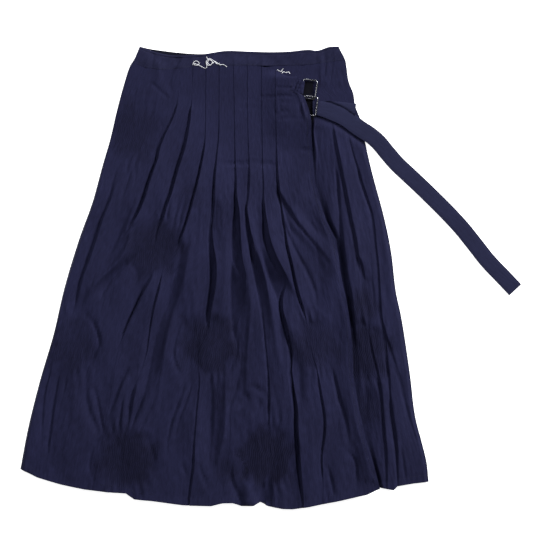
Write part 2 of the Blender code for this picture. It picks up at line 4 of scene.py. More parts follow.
import bpy
import numpy as np
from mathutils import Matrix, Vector


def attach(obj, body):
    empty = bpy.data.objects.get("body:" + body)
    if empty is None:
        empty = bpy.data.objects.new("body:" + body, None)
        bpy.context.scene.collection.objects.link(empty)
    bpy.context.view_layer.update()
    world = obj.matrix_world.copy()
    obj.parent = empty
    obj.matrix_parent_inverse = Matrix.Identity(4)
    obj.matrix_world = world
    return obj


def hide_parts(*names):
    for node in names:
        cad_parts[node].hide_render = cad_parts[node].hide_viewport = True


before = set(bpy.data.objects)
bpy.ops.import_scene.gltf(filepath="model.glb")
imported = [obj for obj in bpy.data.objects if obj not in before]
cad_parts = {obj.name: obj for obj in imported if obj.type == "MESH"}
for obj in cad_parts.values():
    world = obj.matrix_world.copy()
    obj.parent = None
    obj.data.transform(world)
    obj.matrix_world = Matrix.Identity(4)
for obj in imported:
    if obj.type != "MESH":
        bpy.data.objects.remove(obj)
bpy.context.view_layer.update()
mm = 0.001
print("frame loaded")


# small tools

def deselectAll():
    for thing in bpy.context.selected_objects:
        thing.select_set(False)


def hexToLinear(code):      # sRGB hex, as a paint chart gives it, to what Blender mixes with
    parts = [int(code[i:i + 2], 16) / 255 for i in (1, 3, 5)]
    return [p / 12.92 if p <= 0.04045 else ((p + 0.055) / 1.055) ** 2.4 for p in parts] + [1.0]


def addNode(tree, kind, values=None, links=None, **settings):
    node = tree.nodes.new(kind)
    for key, value in settings.items():
        setattr(node, key, value)
    for socket, value in (values or {}).items():
        node.inputs[socket].default_value = value
    for socket, (other, output) in (links or {}).items():
        tree.links.new(other.outputs[output], node.inputs[socket])
    return node


def addMath(tree, operation, *inputs):      # each input is a number, or a node and its output
    node = addNode(tree, "ShaderNodeMath", operation=operation)
    for socket, value in enumerate(inputs):
        if isinstance(value, tuple):
            tree.links.new(value[0].outputs[value[1]], node.inputs[socket])
        else:
            node.inputs[socket].default_value = value
    return node


def readPoints(mesh):      # a row of x, y, z for every point
    points = np.zeros(len(mesh.vertices) * 3)
    mesh.vertices.foreach_get("co", points)
    return points.reshape(-1, 3)


def layPoints(mesh, points, across, along):      # points in mm, and each one's place in the cloth's grain
    mesh.vertices.foreach_set("co", (points * mm).ravel())
    corners = np.zeros(len(mesh.loops), int)
    mesh.loops.foreach_get("vertex_index", corners)
    grain = np.stack((across[corners], along[corners]), 1) * mm
    mesh.uv_layers[0].data.foreach_set("uv", grain.ravel())
    mesh.uv_layers[0].name = "UVMap"


def faceOutwards():      # of the active mesh
    bpy.ops.object.mode_set(mode="EDIT")
    bpy.ops.mesh.select_all(action="SELECT")
    bpy.ops.mesh.normals_make_consistent(inside=False)
    bpy.ops.object.mode_set(mode="OBJECT")


def ease(value, low, high):      # 0 at low, 1 at high, soft at both ends
    t = np.clip((value - low) / (high - low), 0, 1)
    return t * t * (3 - 2 * t)


def readCurve(rows, at, column=1):      # smooth curve through a table's rows
    rows = sorted(rows, key=lambda row: row[0])
    places = np.array([row[0] for row in rows], float)
    values = np.array([row[column] for row in rows], float)
    steps = np.diff(places)
    slopes = np.diff(values) / steps
    leans = np.concatenate(([slopes[0]], (slopes[:-1] + slopes[1:]) / 2, [slopes[-1]]))
    at = np.clip(at, places[0], places[-1])
    cell = np.clip(np.searchsorted(places, at, side="right") - 1, 0, len(steps) - 1)
    t = (at - places[cell]) / steps[cell]
    return ((2 * t**3 - 3 * t**2 + 1) * values[cell] + (3 * t**2 - 2 * t**3) * values[cell + 1]
            + (t**3 - 2 * t**2 + t) * leans[cell] * steps[cell]
            + (t**3 - t**2) * leans[cell + 1] * steps[cell])


def readLine(rows, at, column=1):      # the same, along straight lines
    rows = sorted(rows, key=lambda row: row[0])
    return np.interp(at, [row[0] for row in rows], [row[column] for row in rows])


noiseWaves = {"count": 7, "turn": 0.5, "stretch": (0.6, 1.7), "climb": (0.7, 1.6), "level": 3.2}


def softNoise(x, y, sizeX, sizeY, seed):      # slow uneven waves, mostly between -1 and 1
    rng = random.Random(seed)
    total = np.zeros(np.broadcast(x, y).shape)
    for _ in range(noiseWaves["count"]):
        turn = rng.uniform(-noiseWaves["turn"], noiseWaves["turn"])
        stretch = rng.uniform(*noiseWaves["stretch"])
        phase = rng.uniform(0, 2 * math.pi)
        climb = rng.choice((-1, 1)) / (sizeY * rng.uniform(*noiseWaves["climb"]))
        crossing = (x + turn * y * sizeX / sizeY) / (sizeX * stretch)
        total += np.sin(2 * math.pi * (crossing + y * climb) + phase)
    return total / noiseWaves["level"]


def noiseSum(x, y, waves):      # waves: height, size across, size along, seed
    return sum(height * softNoise(x, y, *rest) for height, *rest in waves)


# studio

studio = {
    "pixelSize": 1.7,          # mm of table to a pixel of the 533 pixel frame
    "framePixels": 533,
    "aimX": -7.6, "aimY": 18.7,
    "cameraHeight": 3.2, "sensor": 36.0, "clipEnd": 50,
    "floorHex": "#f7f7f7", "glowHex": "#ffffff", "floorRoughness": 0.95,
    "floorSize": 7.0,
    "floorDrop": 0.0004, "floorGlow": 0.9,
    "worldHex": "#ffffff", "worldStrength": 0.15,
}
lamps = {      # x, y, height, size, watts
    "keyBox": (4.6, 3.5, 2.9, 2.6, 800),
    "fillBox": (-1.3, 1.3, 1.5, 1.3, 28),
    "ringCard": (0.1, 2.3, 1.9, 0.5, 9),
}


def buildStudio():
    width = studio["pixelSize"] * studio["framePixels"] * mm
    data = bpy.data.cameras.new("overheadCamera")
    data.sensor_width = studio["sensor"]
    data.lens = studio["sensor"] * studio["cameraHeight"] / width
    data.clip_end = studio["clipEnd"]
    camera = bpy.data.objects.new("overheadCamera", data)
    bpy.context.scene.collection.objects.link(camera)
    camera.location = (studio["aimX"] * mm, studio["aimY"] * mm, studio["cameraHeight"])
    bpy.context.scene.camera = camera

    deselectAll()
    bpy.ops.mesh.primitive_plane_add(size=studio["floorSize"], location=(0, 0, -studio["floorDrop"]))
    floor = bpy.context.object
    floor.name = "paperFloor"
    floor.data.materials.append(makeFloorPaper())

    for name, (x, y, height, size, watts) in lamps.items():
        light = bpy.data.lights.new(name, "AREA")
        light.shape = "SQUARE"
        light.size = size
        light.energy = watts
        lamp = bpy.data.objects.new(name, light)
        bpy.context.scene.collection.objects.link(lamp)
        lamp.location = (x, y, height)
        lamp.rotation_euler = (Vector((0, 0, 0)) - lamp.location).to_track_quat("-Z", "Y").to_euler()

    world = bpy.data.worlds.new("paleRoom")
    world.use_nodes = True
    background = world.node_tree.nodes["Background"]
    background.inputs["Color"].default_value = hexToLinear(studio["worldHex"])
    background.inputs["Strength"].default_value = studio["worldStrength"]
    bpy.context.scene.world = world
    bpy.context.scene.view_settings.view_transform = "Standard"


# materials

def newMaterial(name):
    material = bpy.data.materials.new(name)
    material.use_nodes = True
    shader = material.node_tree.nodes["Principled BSDF"]
    return material, material.node_tree, shader


def makeFloorPaper():      # seamless white background paper, matt
    material, _, shader = newMaterial("backgroundPaper")
    shader.inputs["Roughness"].default_value = studio["floorRoughness"]
    shader.inputs["Base Color"].default_value = hexToLinear(studio["floorHex"])
    shader.inputs["Emission Color"].default_value = hexToLinear(studio["glowHex"])
    shader.inputs["Emission Strength"].default_value = studio["floorGlow"]
    return material


cottonCloth = {
    "threadPitch": 0.7,        # mm; the weave is drawn coarser than it would be, so that it shows
    "weaveStrength": 0.3, "weaveDepth": 0.08,
    "crinkleWidth": 6.0, "crinkleLength": 20.0, "crinkleDepth": 0.46,      # mm, washed-in wrinkles
    "streakWidth": 2.4, "streakLength": 12.0, "streakDepth": 0.13,
    "gatherDepth": 0.3,
    "slubScale": 420.0, "slubShare": 0.6,
    "mottleScale": 14.0, "mottleShare": 0.5,
    "dotPaintedShade": 0.30, "furrowPaintedShade": 0.25,      # painted shade: how much a dot's colour is darkened, and its furrows beyond that, standing in for the shade down in the gathers
    "rampEnds": (0.12, 0.85),
    # painted shade for the cloth seen inside the rings: how far the colour is darkened as the painted shade
    # amount climbs
    "paintedRingShade": {"From Min": 1.2, "From Max": 2.2, "To Min": 1.0, "To Max": 0.15},
    "sheen": 0.04, "sheenRoughness": 0.45, "sheenHex": "#9fa6d8",
    "specular": 0.1,
}


def addGrain(tree, uv, kind, values):      # noise drawn out along the cloth
    width = cottonCloth[f"{kind}Width"]
    drawn = addNode(tree, "ShaderNodeMapping", {"Scale": (1, width / cottonCloth[f"{kind}Length"], 1)},
                    {"Vector": (uv, "UV")})
    noise = addNode(tree, "ShaderNodeTexNoise", {"Scale": 1000 / width, **values},
                    {"Vector": (drawn, "Vector")})
    return drawn, noise


def makeCotton(name, darkHex, lightHex, roughness=0.85, sheen=None, crinkled=1.0):
    # washed cotton lawn: fine plain weave, crinkles that run down the cloth, ridges where it is shirred
    material, tree, shader = newMaterial(name)
    uv = addNode(tree, "ShaderNodeUVMap", uv_map="UVMap")
    place = addNode(tree, "ShaderNodeTexCoord")
    waveScale = 2 * math.pi / (20 * cottonCloth["threadPitch"] * mm)
    warp, weft = [addNode(tree, "ShaderNodeTexWave", {"Scale": waveScale}, {"Vector": (uv, "UV")},
                          wave_type="BANDS", bands_direction=way) for way in "XY"]
    weave = addMath(tree, "MULTIPLY", (warp, "Fac"), (weft, "Fac"))
    crinkle = addGrain(tree, uv, "crinkle", {"Detail": 3.0, "Roughness": 0.6, "Distortion": 0.4})[1]
    streakMap, streak = addGrain(tree, uv, "streak", {"Detail": 2.0, "Roughness": 0.5})
    # shirring and painted shade, from the sheet's own attributes: its ridges' count, and the painted shade
    # amount, which also sets how strong the ridges are
    paintedShadeAndGather = addNode(tree, "ShaderNodeAttribute", attribute_name="paintedShadeAndGather")
    count = addNode(tree, "ShaderNodeAttribute", attribute_name="gatherCount")
    turned = addMath(tree, "MULTIPLY", (count, "Fac"), math.pi)
    ridge = addMath(tree, "ABSOLUTE", (addMath(tree, "SINE", (turned, 0)), 0))
    gathered = addMath(tree, "MULTIPLY", (ridge, 0), (paintedShadeAndGather, "Fac"))
    # colour: slubs in the yarn and a slow mottle from washing, with painted shade: dots and their furrows are
    # darkened, standing in for the shade down in the gathers
    slub = addNode(tree, "ShaderNodeTexNoise", {"Scale": cottonCloth["slubScale"], "Detail": 2.0},
                   {"Vector": (streakMap, "Vector")})
    mottle = addNode(tree, "ShaderNodeTexNoise", {"Scale": cottonCloth["mottleScale"], "Detail": 3.0},
                     {"Vector": (place, "Object")})
    slubPart = addMath(tree, "MULTIPLY", (slub, "Fac"), cottonCloth["slubShare"])
    mottlePart = addMath(tree, "MULTIPLY", (mottle, "Fac"), cottonCloth["mottleShare"])
    shade = addMath(tree, "ADD", (slubPart, 0), (mottlePart, 0))
    furrow = addMath(tree, "SUBTRACT", 1.0, (ridge, 0))
    dark = addMath(tree, "MULTIPLY_ADD", (furrow, 0), cottonCloth["furrowPaintedShade"], cottonCloth["dotPaintedShade"])
    darkPart = addMath(tree, "MULTIPLY", (dark, 0), (paintedShadeAndGather, "Fac"))
    shaded = addMath(tree, "SUBTRACT", (shade, 0), (darkPart, 0))
    ramp = addNode(tree, "ShaderNodeValToRGB", None, {"Fac": (shaded, 0)})
    ends = zip(ramp.color_ramp.elements, cottonCloth["rampEnds"], (darkHex, lightHex))
    for element, position, code in ends:
        element.position = position
        element.color = hexToLinear(code)
    # painted shade: where the painted shade amount passes 1.2, as inside the rings, the colour is darkened
    # further, standing in for the shadow there
    ringShadeFactor = addNode(tree, "ShaderNodeMapRange", cottonCloth["paintedRingShade"], {"Value": (paintedShadeAndGather, "Fac")})
    paintedRingShade = addNode(tree, "ShaderNodeMix", {"Factor": 1.0}, None, data_type="RGBA", blend_type="MULTIPLY")
    tree.links.new(ramp.outputs["Color"], paintedRingShade.inputs[6])
    tree.links.new(ringShadeFactor.outputs["Result"], paintedRingShade.inputs[7])
    tree.links.new(paintedRingShade.outputs[2], shader.inputs["Base Color"])
    normal = addNode(tree, "ShaderNodeBump",
                     {"Strength": cottonCloth["weaveStrength"], "Distance": cottonCloth["weaveDepth"] * mm},
                     {"Height": (weave, 0)})
    for height, output, depth in ((streak, "Fac", cottonCloth["streakDepth"] * crinkled),
                                  (crinkle, "Fac", cottonCloth["crinkleDepth"] * crinkled),
                                  (gathered, 0, cottonCloth["gatherDepth"])):
        normal = addNode(tree, "ShaderNodeBump", {"Strength": 1.0, "Distance": depth * mm},
                         {"Height": (height, output), "Normal": (normal, "Normal")})
    tree.links.new(normal.outputs["Normal"], shader.inputs["Normal"])
    shader.inputs["Roughness"].default_value = roughness
    shader.inputs["Sheen Weight"].default_value = cottonCloth["sheen"] if sheen is None else sheen
    shader.inputs["Sheen Roughness"].default_value = cottonCloth["sheenRoughness"]
    shader.inputs["Sheen Tint"].default_value = hexToLinear(cottonCloth["sheenHex"])
    shader.inputs["Specular IOR Level"].default_value = cottonCloth["specular"]
    return material


def makePlatedSteel():      # nickel plated wire: bright, with faint drawing marks along it
    material, tree, shader = newMaterial("nickelPlatedWire")
    place = addNode(tree, "ShaderNodeTexCoord")
    marks = addNode(tree, "ShaderNodeTexNoise", {"Scale": 600.0, "Detail": 2.0},
                    {"Vector": (place, "Object")})
    bump = addNode(tree, "ShaderNodeBump", {"Strength": 0.05, "Distance": 0.0001}, {"Height": (marks, "Fac")})
    tree.links.new(bump.outputs["Normal"], shader.inputs["Normal"])
    shader.inputs["Base Color"].default_value = hexToLinear("#8d8e93")
    shader.inputs["Metallic"].default_value = 1.0
    shader.inputs["Roughness"].default_value = 0.16
    return material


def makeThread(name, hexCode):      # spun polyester sewing thread, twisted
    material, tree, shader = newMaterial(name)
    place = addNode(tree, "ShaderNodeTexCoord")
    twist = addNode(tree, "ShaderNodeTexWave", {"Scale": 420.0}, {"Vector": (place, "Object")},
                    wave_type="BANDS", bands_direction="DIAGONAL")
    bump = addNode(tree, "ShaderNodeBump", {"Strength": 0.3, "Distance": 0.00008}, {"Height": (twist, "Fac")})
    tree.links.new(bump.outputs["Normal"], shader.inputs["Normal"])
    shader.inputs["Base Color"].default_value = hexToLinear(hexCode)
    shader.inputs["Roughness"].default_value = 0.6
    shader.inputs["Specular IOR Level"].default_value = 0.2
    return material


buildStudio()
print("studio ready")

navyCotton = makeCotton("navyCottonLawn", "#0c0c20", "#1e1f3b")
bandCotton = makeCotton("navyCottonBand", "#0c0c1f", "#1e1f39", crinkled=0.7)      # smoother: it is stiffened
# painted shade: a darker copy of the navy cotton for the back panel and back band, which lie in shadow under
# the front pieces
navyShaded = makeCotton("navyCottonShaded", "#0a0b17", "#0f1120", 0.9, 0.02)
beltCotton = makeCotton("navyBeltCotton", "#191a2f", "#22243e", crinkled=0.5)
navyThread = makeThread("navySewingThread", "#15172b")
whiteThread = makeThread("whiteTackingThread", "#f2f3f7")
platedSteel = makePlatedSteel()
print("materials ready")


# outlines that the pieces share, in mm: sides are (y, x), upper and lower edges (x, y)

outline = {
    "leftSide": (
        (392, -223), (371, -232), (360, -239), (337, -247), (282, -262), (235, -273),
        (190, -286), (128, -303), (67, -325), (-15, -350), (-96, -369), (-178, -393),
        (-259, -413), (-325, -425.5), (-400, -440)),
    "rightSide": (
        (392, 115), (384, 119), (370, 126), (353, 129), (333, 132), (312, 140), (292, 143),
        (268, 152), (234, 159), (182, 171), (99, 193), (45, 204), (-25, 212.5), (-65, 221),
        (-163, 236), (-238, 245.5), (-279, 256), (-314, 264.5), (-347, 268), (-400, 276)),
    "frontEdge": (
        (345, 44), (328, 42), (317, 39), (308, 56), (285, 64), (268, 68), (242, 68),
        (207, 70), (166, 74), (132, 82.5), (98, 93), (80, 102), (64, 110), (40, 114),
        (15, 117), (-8, 121), (-21, 124), (-38, 128), (-72, 133), (-115, 137.5),
        (-166, 139.5), (-217, 148), (-271, 160), (-310, 172), (-358, 184.5), (-400, 196)),
    "waistTop": (
        (-223, 392.5), (-206, 388.5), (-189, 386), (-151, 381.5), (-112, 380), (-78, 385),
        (-36, 384), (-2, 383), (32, 384), (65, 387), (78, 385.5), (99.5, 392), (115, 392.5)),
    "frontBandTop": (
        (-223, 392.5), (-206, 386.5), (-194, 382.5), (-172, 378), (-151, 377), (-130, 378.5),
        (-112, 380), (-78, 385), (-36, 384), (-2, 383), (32, 384), (65, 387), (78, 385.5),
        (99.5, 392), (115, 392.5)),
    "bandSeam": (
        (-240, 365), (-229, 363), (-210, 356), (-189, 353), (-138, 356), (-95, 358),
        (-53, 359.5), (-32, 359.5), (-15, 359.5), (15, 360), (51, 361), (85, 364), (126, 370)),
    "panelTop": (
        (-240, 365), (-229, 363), (-210, 356), (-189, 353), (-138, 356), (-95, 358),
        (-53, 359.5), (-32, 359.5), (-15, 358), (7, 352), (24, 343), (34, 340.5), (44, 341)),
    "hem": (
        (-425.5, -325), (-397, -339), (-357, -351), (-316, -359.5), (-276, -364),
        (-246, -366), (-232, -376), (-200, -379), (-149, -386), (-102, -387.5),
        (-82, -382.5), (-65, -382.5), (-50, -387), (-30, -387), (-18, -381), (-4, -387.5),
        (19, -392), (36, -393), (66, -388.5), (117, -378.5), (163, -368), (184.5, -357.5)),
    "strapLow": ((60, 272), (82, 271), (100, 266), (126, 252), (151, 234), (170, 220), (190, 203)),
    "underHem": ((-140, -357), (185, -357), (208, -361), (215, -354.5), (241, -350), (268, -347)),
}
layers = {      # heights above the table, mm
    "underRest": 1.5, "overRest": 3.0, "cloth": 1.1, "rim": 0.9,
    "sharpAngle": 72,          # degrees above which the rim keeps a sharp corner
}


def leftSide(y):
    return readCurve(outline["leftSide"], y)


def rightSide(y):
    return readCurve(outline["rightSide"], y)


def frontEdge(y):
    return readLine(outline["frontEdge"], y)


def bandSeam(x):
    return readCurve(outline["bandSeam"], x)


def bandTop(x):
    return readCurve(outline["frontBandTop"], x)


def hemLine(x):
    return readLine(outline["hem"], x)


def underHemLine(x):
    return readLine(outline["underHem"], x)


# cloth sheets: a grid primitive whose points are moved to where the cloth is

def clothSheet(name, columns, rows, shape, material, rim=None):
    deselectAll()
    bpy.ops.mesh.primitive_grid_add(x_subdivisions=columns, y_subdivisions=rows, size=1, location=(0, 0, 0))
    sheet = bpy.context.object
    sheet.name = name
    mesh = sheet.data
    grid = readPoints(mesh)
    u = grid[:, 0] + 0.5
    v = 0.5 - grid[:, 1]
    x, y, z, across, along, *shadeAndShirring = shape(u, v)
    layPoints(mesh, np.stack((x, y, z), 1), across, along)
    # the painted shade amount and the shirred ridges' count become attributes of the cloth
    for label, values in zip(("paintedShadeAndGather", "gatherCount"), shadeAndShirring or (np.zeros_like(u),) * 2):
        mesh.attributes.new(label, "FLOAT", "POINT").data.foreach_set("value", values.astype(float))
    mesh.update()
    bpy.ops.object.shade_smooth()
    rimmed = sheet.modifiers.new("rim", "SOLIDIFY")
    rimmed.thickness = (layers["rim"] if rim is None else rim) * mm
    rimmed.offset = -1
    rimmed.use_rim_only = True
    bpy.ops.object.modifier_apply(modifier="rim")
    bpy.ops.object.shade_smooth_by_angle(angle=math.radians(layers["sharpAngle"]))
    mesh.materials.append(material)
    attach(sheet, "root")
    return sheet


creaseForm = {
    "fadeIn": (-0.1, 0.22), "fadeOut": (0.78, 1.1),      # shares of its length where it comes and goes
    "trail": 7, "frontWidth": 1.2, "frontDepth": 0.5,    # of a step, to its width and height
}
foldForm = {
    "roundTop": 0.004,         # keeps the middle of a fold from being a sharp line
    "wideFrom": 9,             # mm; a side that reaches this far is an even slope, a narrower one is rounded
    "power": 1.7, "slopeEnd": 1.6,
}


def creaseSum(x, y, creases):      # ridges and one-sided steps, each fading at its ends
    total = np.zeros_like(x)
    for kind, width, height, line in creases:
        ys = [point[0] for point in line]
        high, low = max(ys), min(ys)
        off = x - readCurve(line, y)
        along = (high - y) / (high - low)
        fade = ease(along, *creaseForm["fadeIn"]) * (1 - ease(along, *creaseForm["fadeOut"]))
        if kind == "soft":
            total += height * fade * np.exp(-(off / width) ** 2)
        else:      # a step: low on its left, high on its right, dying away behind
            edge = np.clip(off / width + 0.5, 0, 1)
            edge = edge * edge * (3 - 2 * edge)
            behind = edge * np.exp(-np.maximum(off, 0) / (width * creaseForm["trail"]))
            front = np.exp(-((off + width) / (width * creaseForm["frontWidth"])) ** 2)
            total += height * fade * (behind - creaseForm["frontDepth"] * front)
    return total


def foldSum(x, y, folds):
    # each row of a fold: y, x, reach to the left, reach to the right, depth (a ridge when below 0)
    total = np.zeros_like(x)
    for rows in folds.values():
        off = x - readCurve(rows, y)
        reach = np.where(off < 0, readLine(rows, y, 2), readLine(rows, y, 3))
        depth = readLine(rows, y, 4)
        inside = (y < max(row[0] for row in rows)) & (y > min(row[0] for row in rows))
        share = np.sqrt((off / reach) ** 2 + foldForm["roundTop"])
        side = np.where(reach < foldForm["wideFrom"], np.exp(-share**foldForm["power"]),
                        np.clip(1 - share / foldForm["slopeEnd"], 0, 1))
        total -= np.where(inside, depth, 0) * side
    return total


# shirred dots: fine gathered ridges inside a round, a sewn edge, puckers that run out of it, and painted
# shade in and around them

dots = {
    "ridgePitch": 7.0, "ridgeHeight": 0.5, "finePitch": 3.1,
    "puckerWave": 12.0, "puckerHeight": 1.0, "puckerReach": 24.0,
    "edgeWidth": 2.2, "edgeDepth": 1.1,
    "edgeWaves": ((5, 0.045, 1), (9, 0.035, 2),
                  (17, 0.02, 0)),      # waves round it, share of the radius, turn
    "edgeFade": (11, 2),       # mm inside and outside the edge between which the gathers stop
    "darkFade": (22, 9),       # and between which the painted shade stops
    "farOff": 999.0, "worked": 2.4,      # a dot is worked out to this many radii; beyond that it is far off
    "flatten": 0.35, "sink": 0.3,
    # x, y, radius, strength of the gathers, how much painted shade (colour darkened for the shade in and
    # around the gathers)
    "over": ((-235, 247, 48, 1.0, 0.55), (-200, 47, 52, 1.0, 0.62), (-342, -111, 52, 1.0, 0.5),
             (-104, -116, 54, 1.0, 0.75), (76, -114, 46, 0.9, 0.5), (-246, -308, 54, 1.1, 0.85),
             (-5, -303, 53, 1.2, 1.0), (20, 247, 40, 0.3, 0.0), (-138, 134, 26, 0.3, 0.3),
             (-92, -200, 30, 0.0, 0.35), (-75, -330, 26, 0.0, 0.45)),
    "under": ((152, -128, 56, 0.7, 0.85), (156, -48, 32, 0.0, 0.75), (164, -214, 38, 0.0, 0.5)),
}


def dotRelief(x, y, lean, table):      # ridges and puckers, how much is dot, the painted shade, and the ridges' count
    relief = np.zeros_like(x)
    cover = np.zeros_like(x)
    phase = np.zeros_like(x)
    paintedShade = np.zeros_like(x)
    for number, (cx, cy, radius, strength, shade) in enumerate(table):
        near = (np.abs(x - cx) < radius * dots["worked"]) & (np.abs(y - cy) < radius * dots["worked"])
        dx = np.where(near, x - cx, dots["farOff"])
        dy = y - cy
        slant = dx - lean * dy
        reach = np.hypot(dx, dy)
        around = np.arctan2(dy, dx)
        edge = 1
        for waves, share, turn in dots["edgeWaves"]:
            edge = edge + share * np.sin(waves * around + turn * number)
        edge = radius * edge
        wobble = 1.5 * np.sin(dy / 9.0 + number) + 0.8 * np.sin(dx / 7.0 + dy / 4.0 + 2 * number)
        inside = (1 - ease(reach, edge - dots["edgeFade"][0], edge + dots["edgeFade"][1])) * strength
        count = (slant + wobble) / dots["finePitch"]
        uneven = 0.7 + 0.4 * np.sin(dx * 0.23 + number) * np.sin(dy / 15.0 + dx * 0.13)
        coarse = slant / dots["ridgePitch"] + 0.9 * softNoise(x, y, 30, 22, 60 + number)
        relief += inside * (np.abs(np.sin(math.pi * coarse)) - 0.6) * dots["ridgeHeight"] * uneven
        upright = (np.abs(dy) / np.maximum(reach, 1)) ** 2
        sewn = dots["edgeDepth"] * (1 - 0.8 * upright) * (0.8 + 0.4 * np.sin(7 * around + number * 3))
        relief -= strength * sewn * np.exp(-((reach - edge) / dots["edgeWidth"]) ** 2)
        spread = np.maximum(reach / radius, 0.6) ** 0.7
        wave = 2 * math.pi * slant / (dots["puckerWave"] * spread) + number * 1.7
        out = np.exp(-np.maximum(reach - radius, 0) / dots["puckerReach"])
        out = out * ease(reach, radius * 0.75, radius * 1.02)
        jag = 0.6 + 0.6 * np.sin(slant / 11.0 + number * 2.1)
        relief += strength * dots["puckerHeight"] * out * upright * jag * np.sin(wave)
        phase = np.where(reach < radius * 1.3, count, phase)
        # painted shade: the colour is darkened inside a ragged edge round each dot, standing in for the shade
        # among the gathers
        ragged = edge * (1 + 0.16 * softNoise(x, y, 44, 60, 80 + number))
        fade = ease(reach, ragged - dots["darkFade"][0], ragged + dots["darkFade"][1])
        paintedShade = np.maximum(paintedShade, shade * (1 - fade))
        cover = np.maximum(cover, inside)
    return relief, cover, paintedShade, phase


# over panel

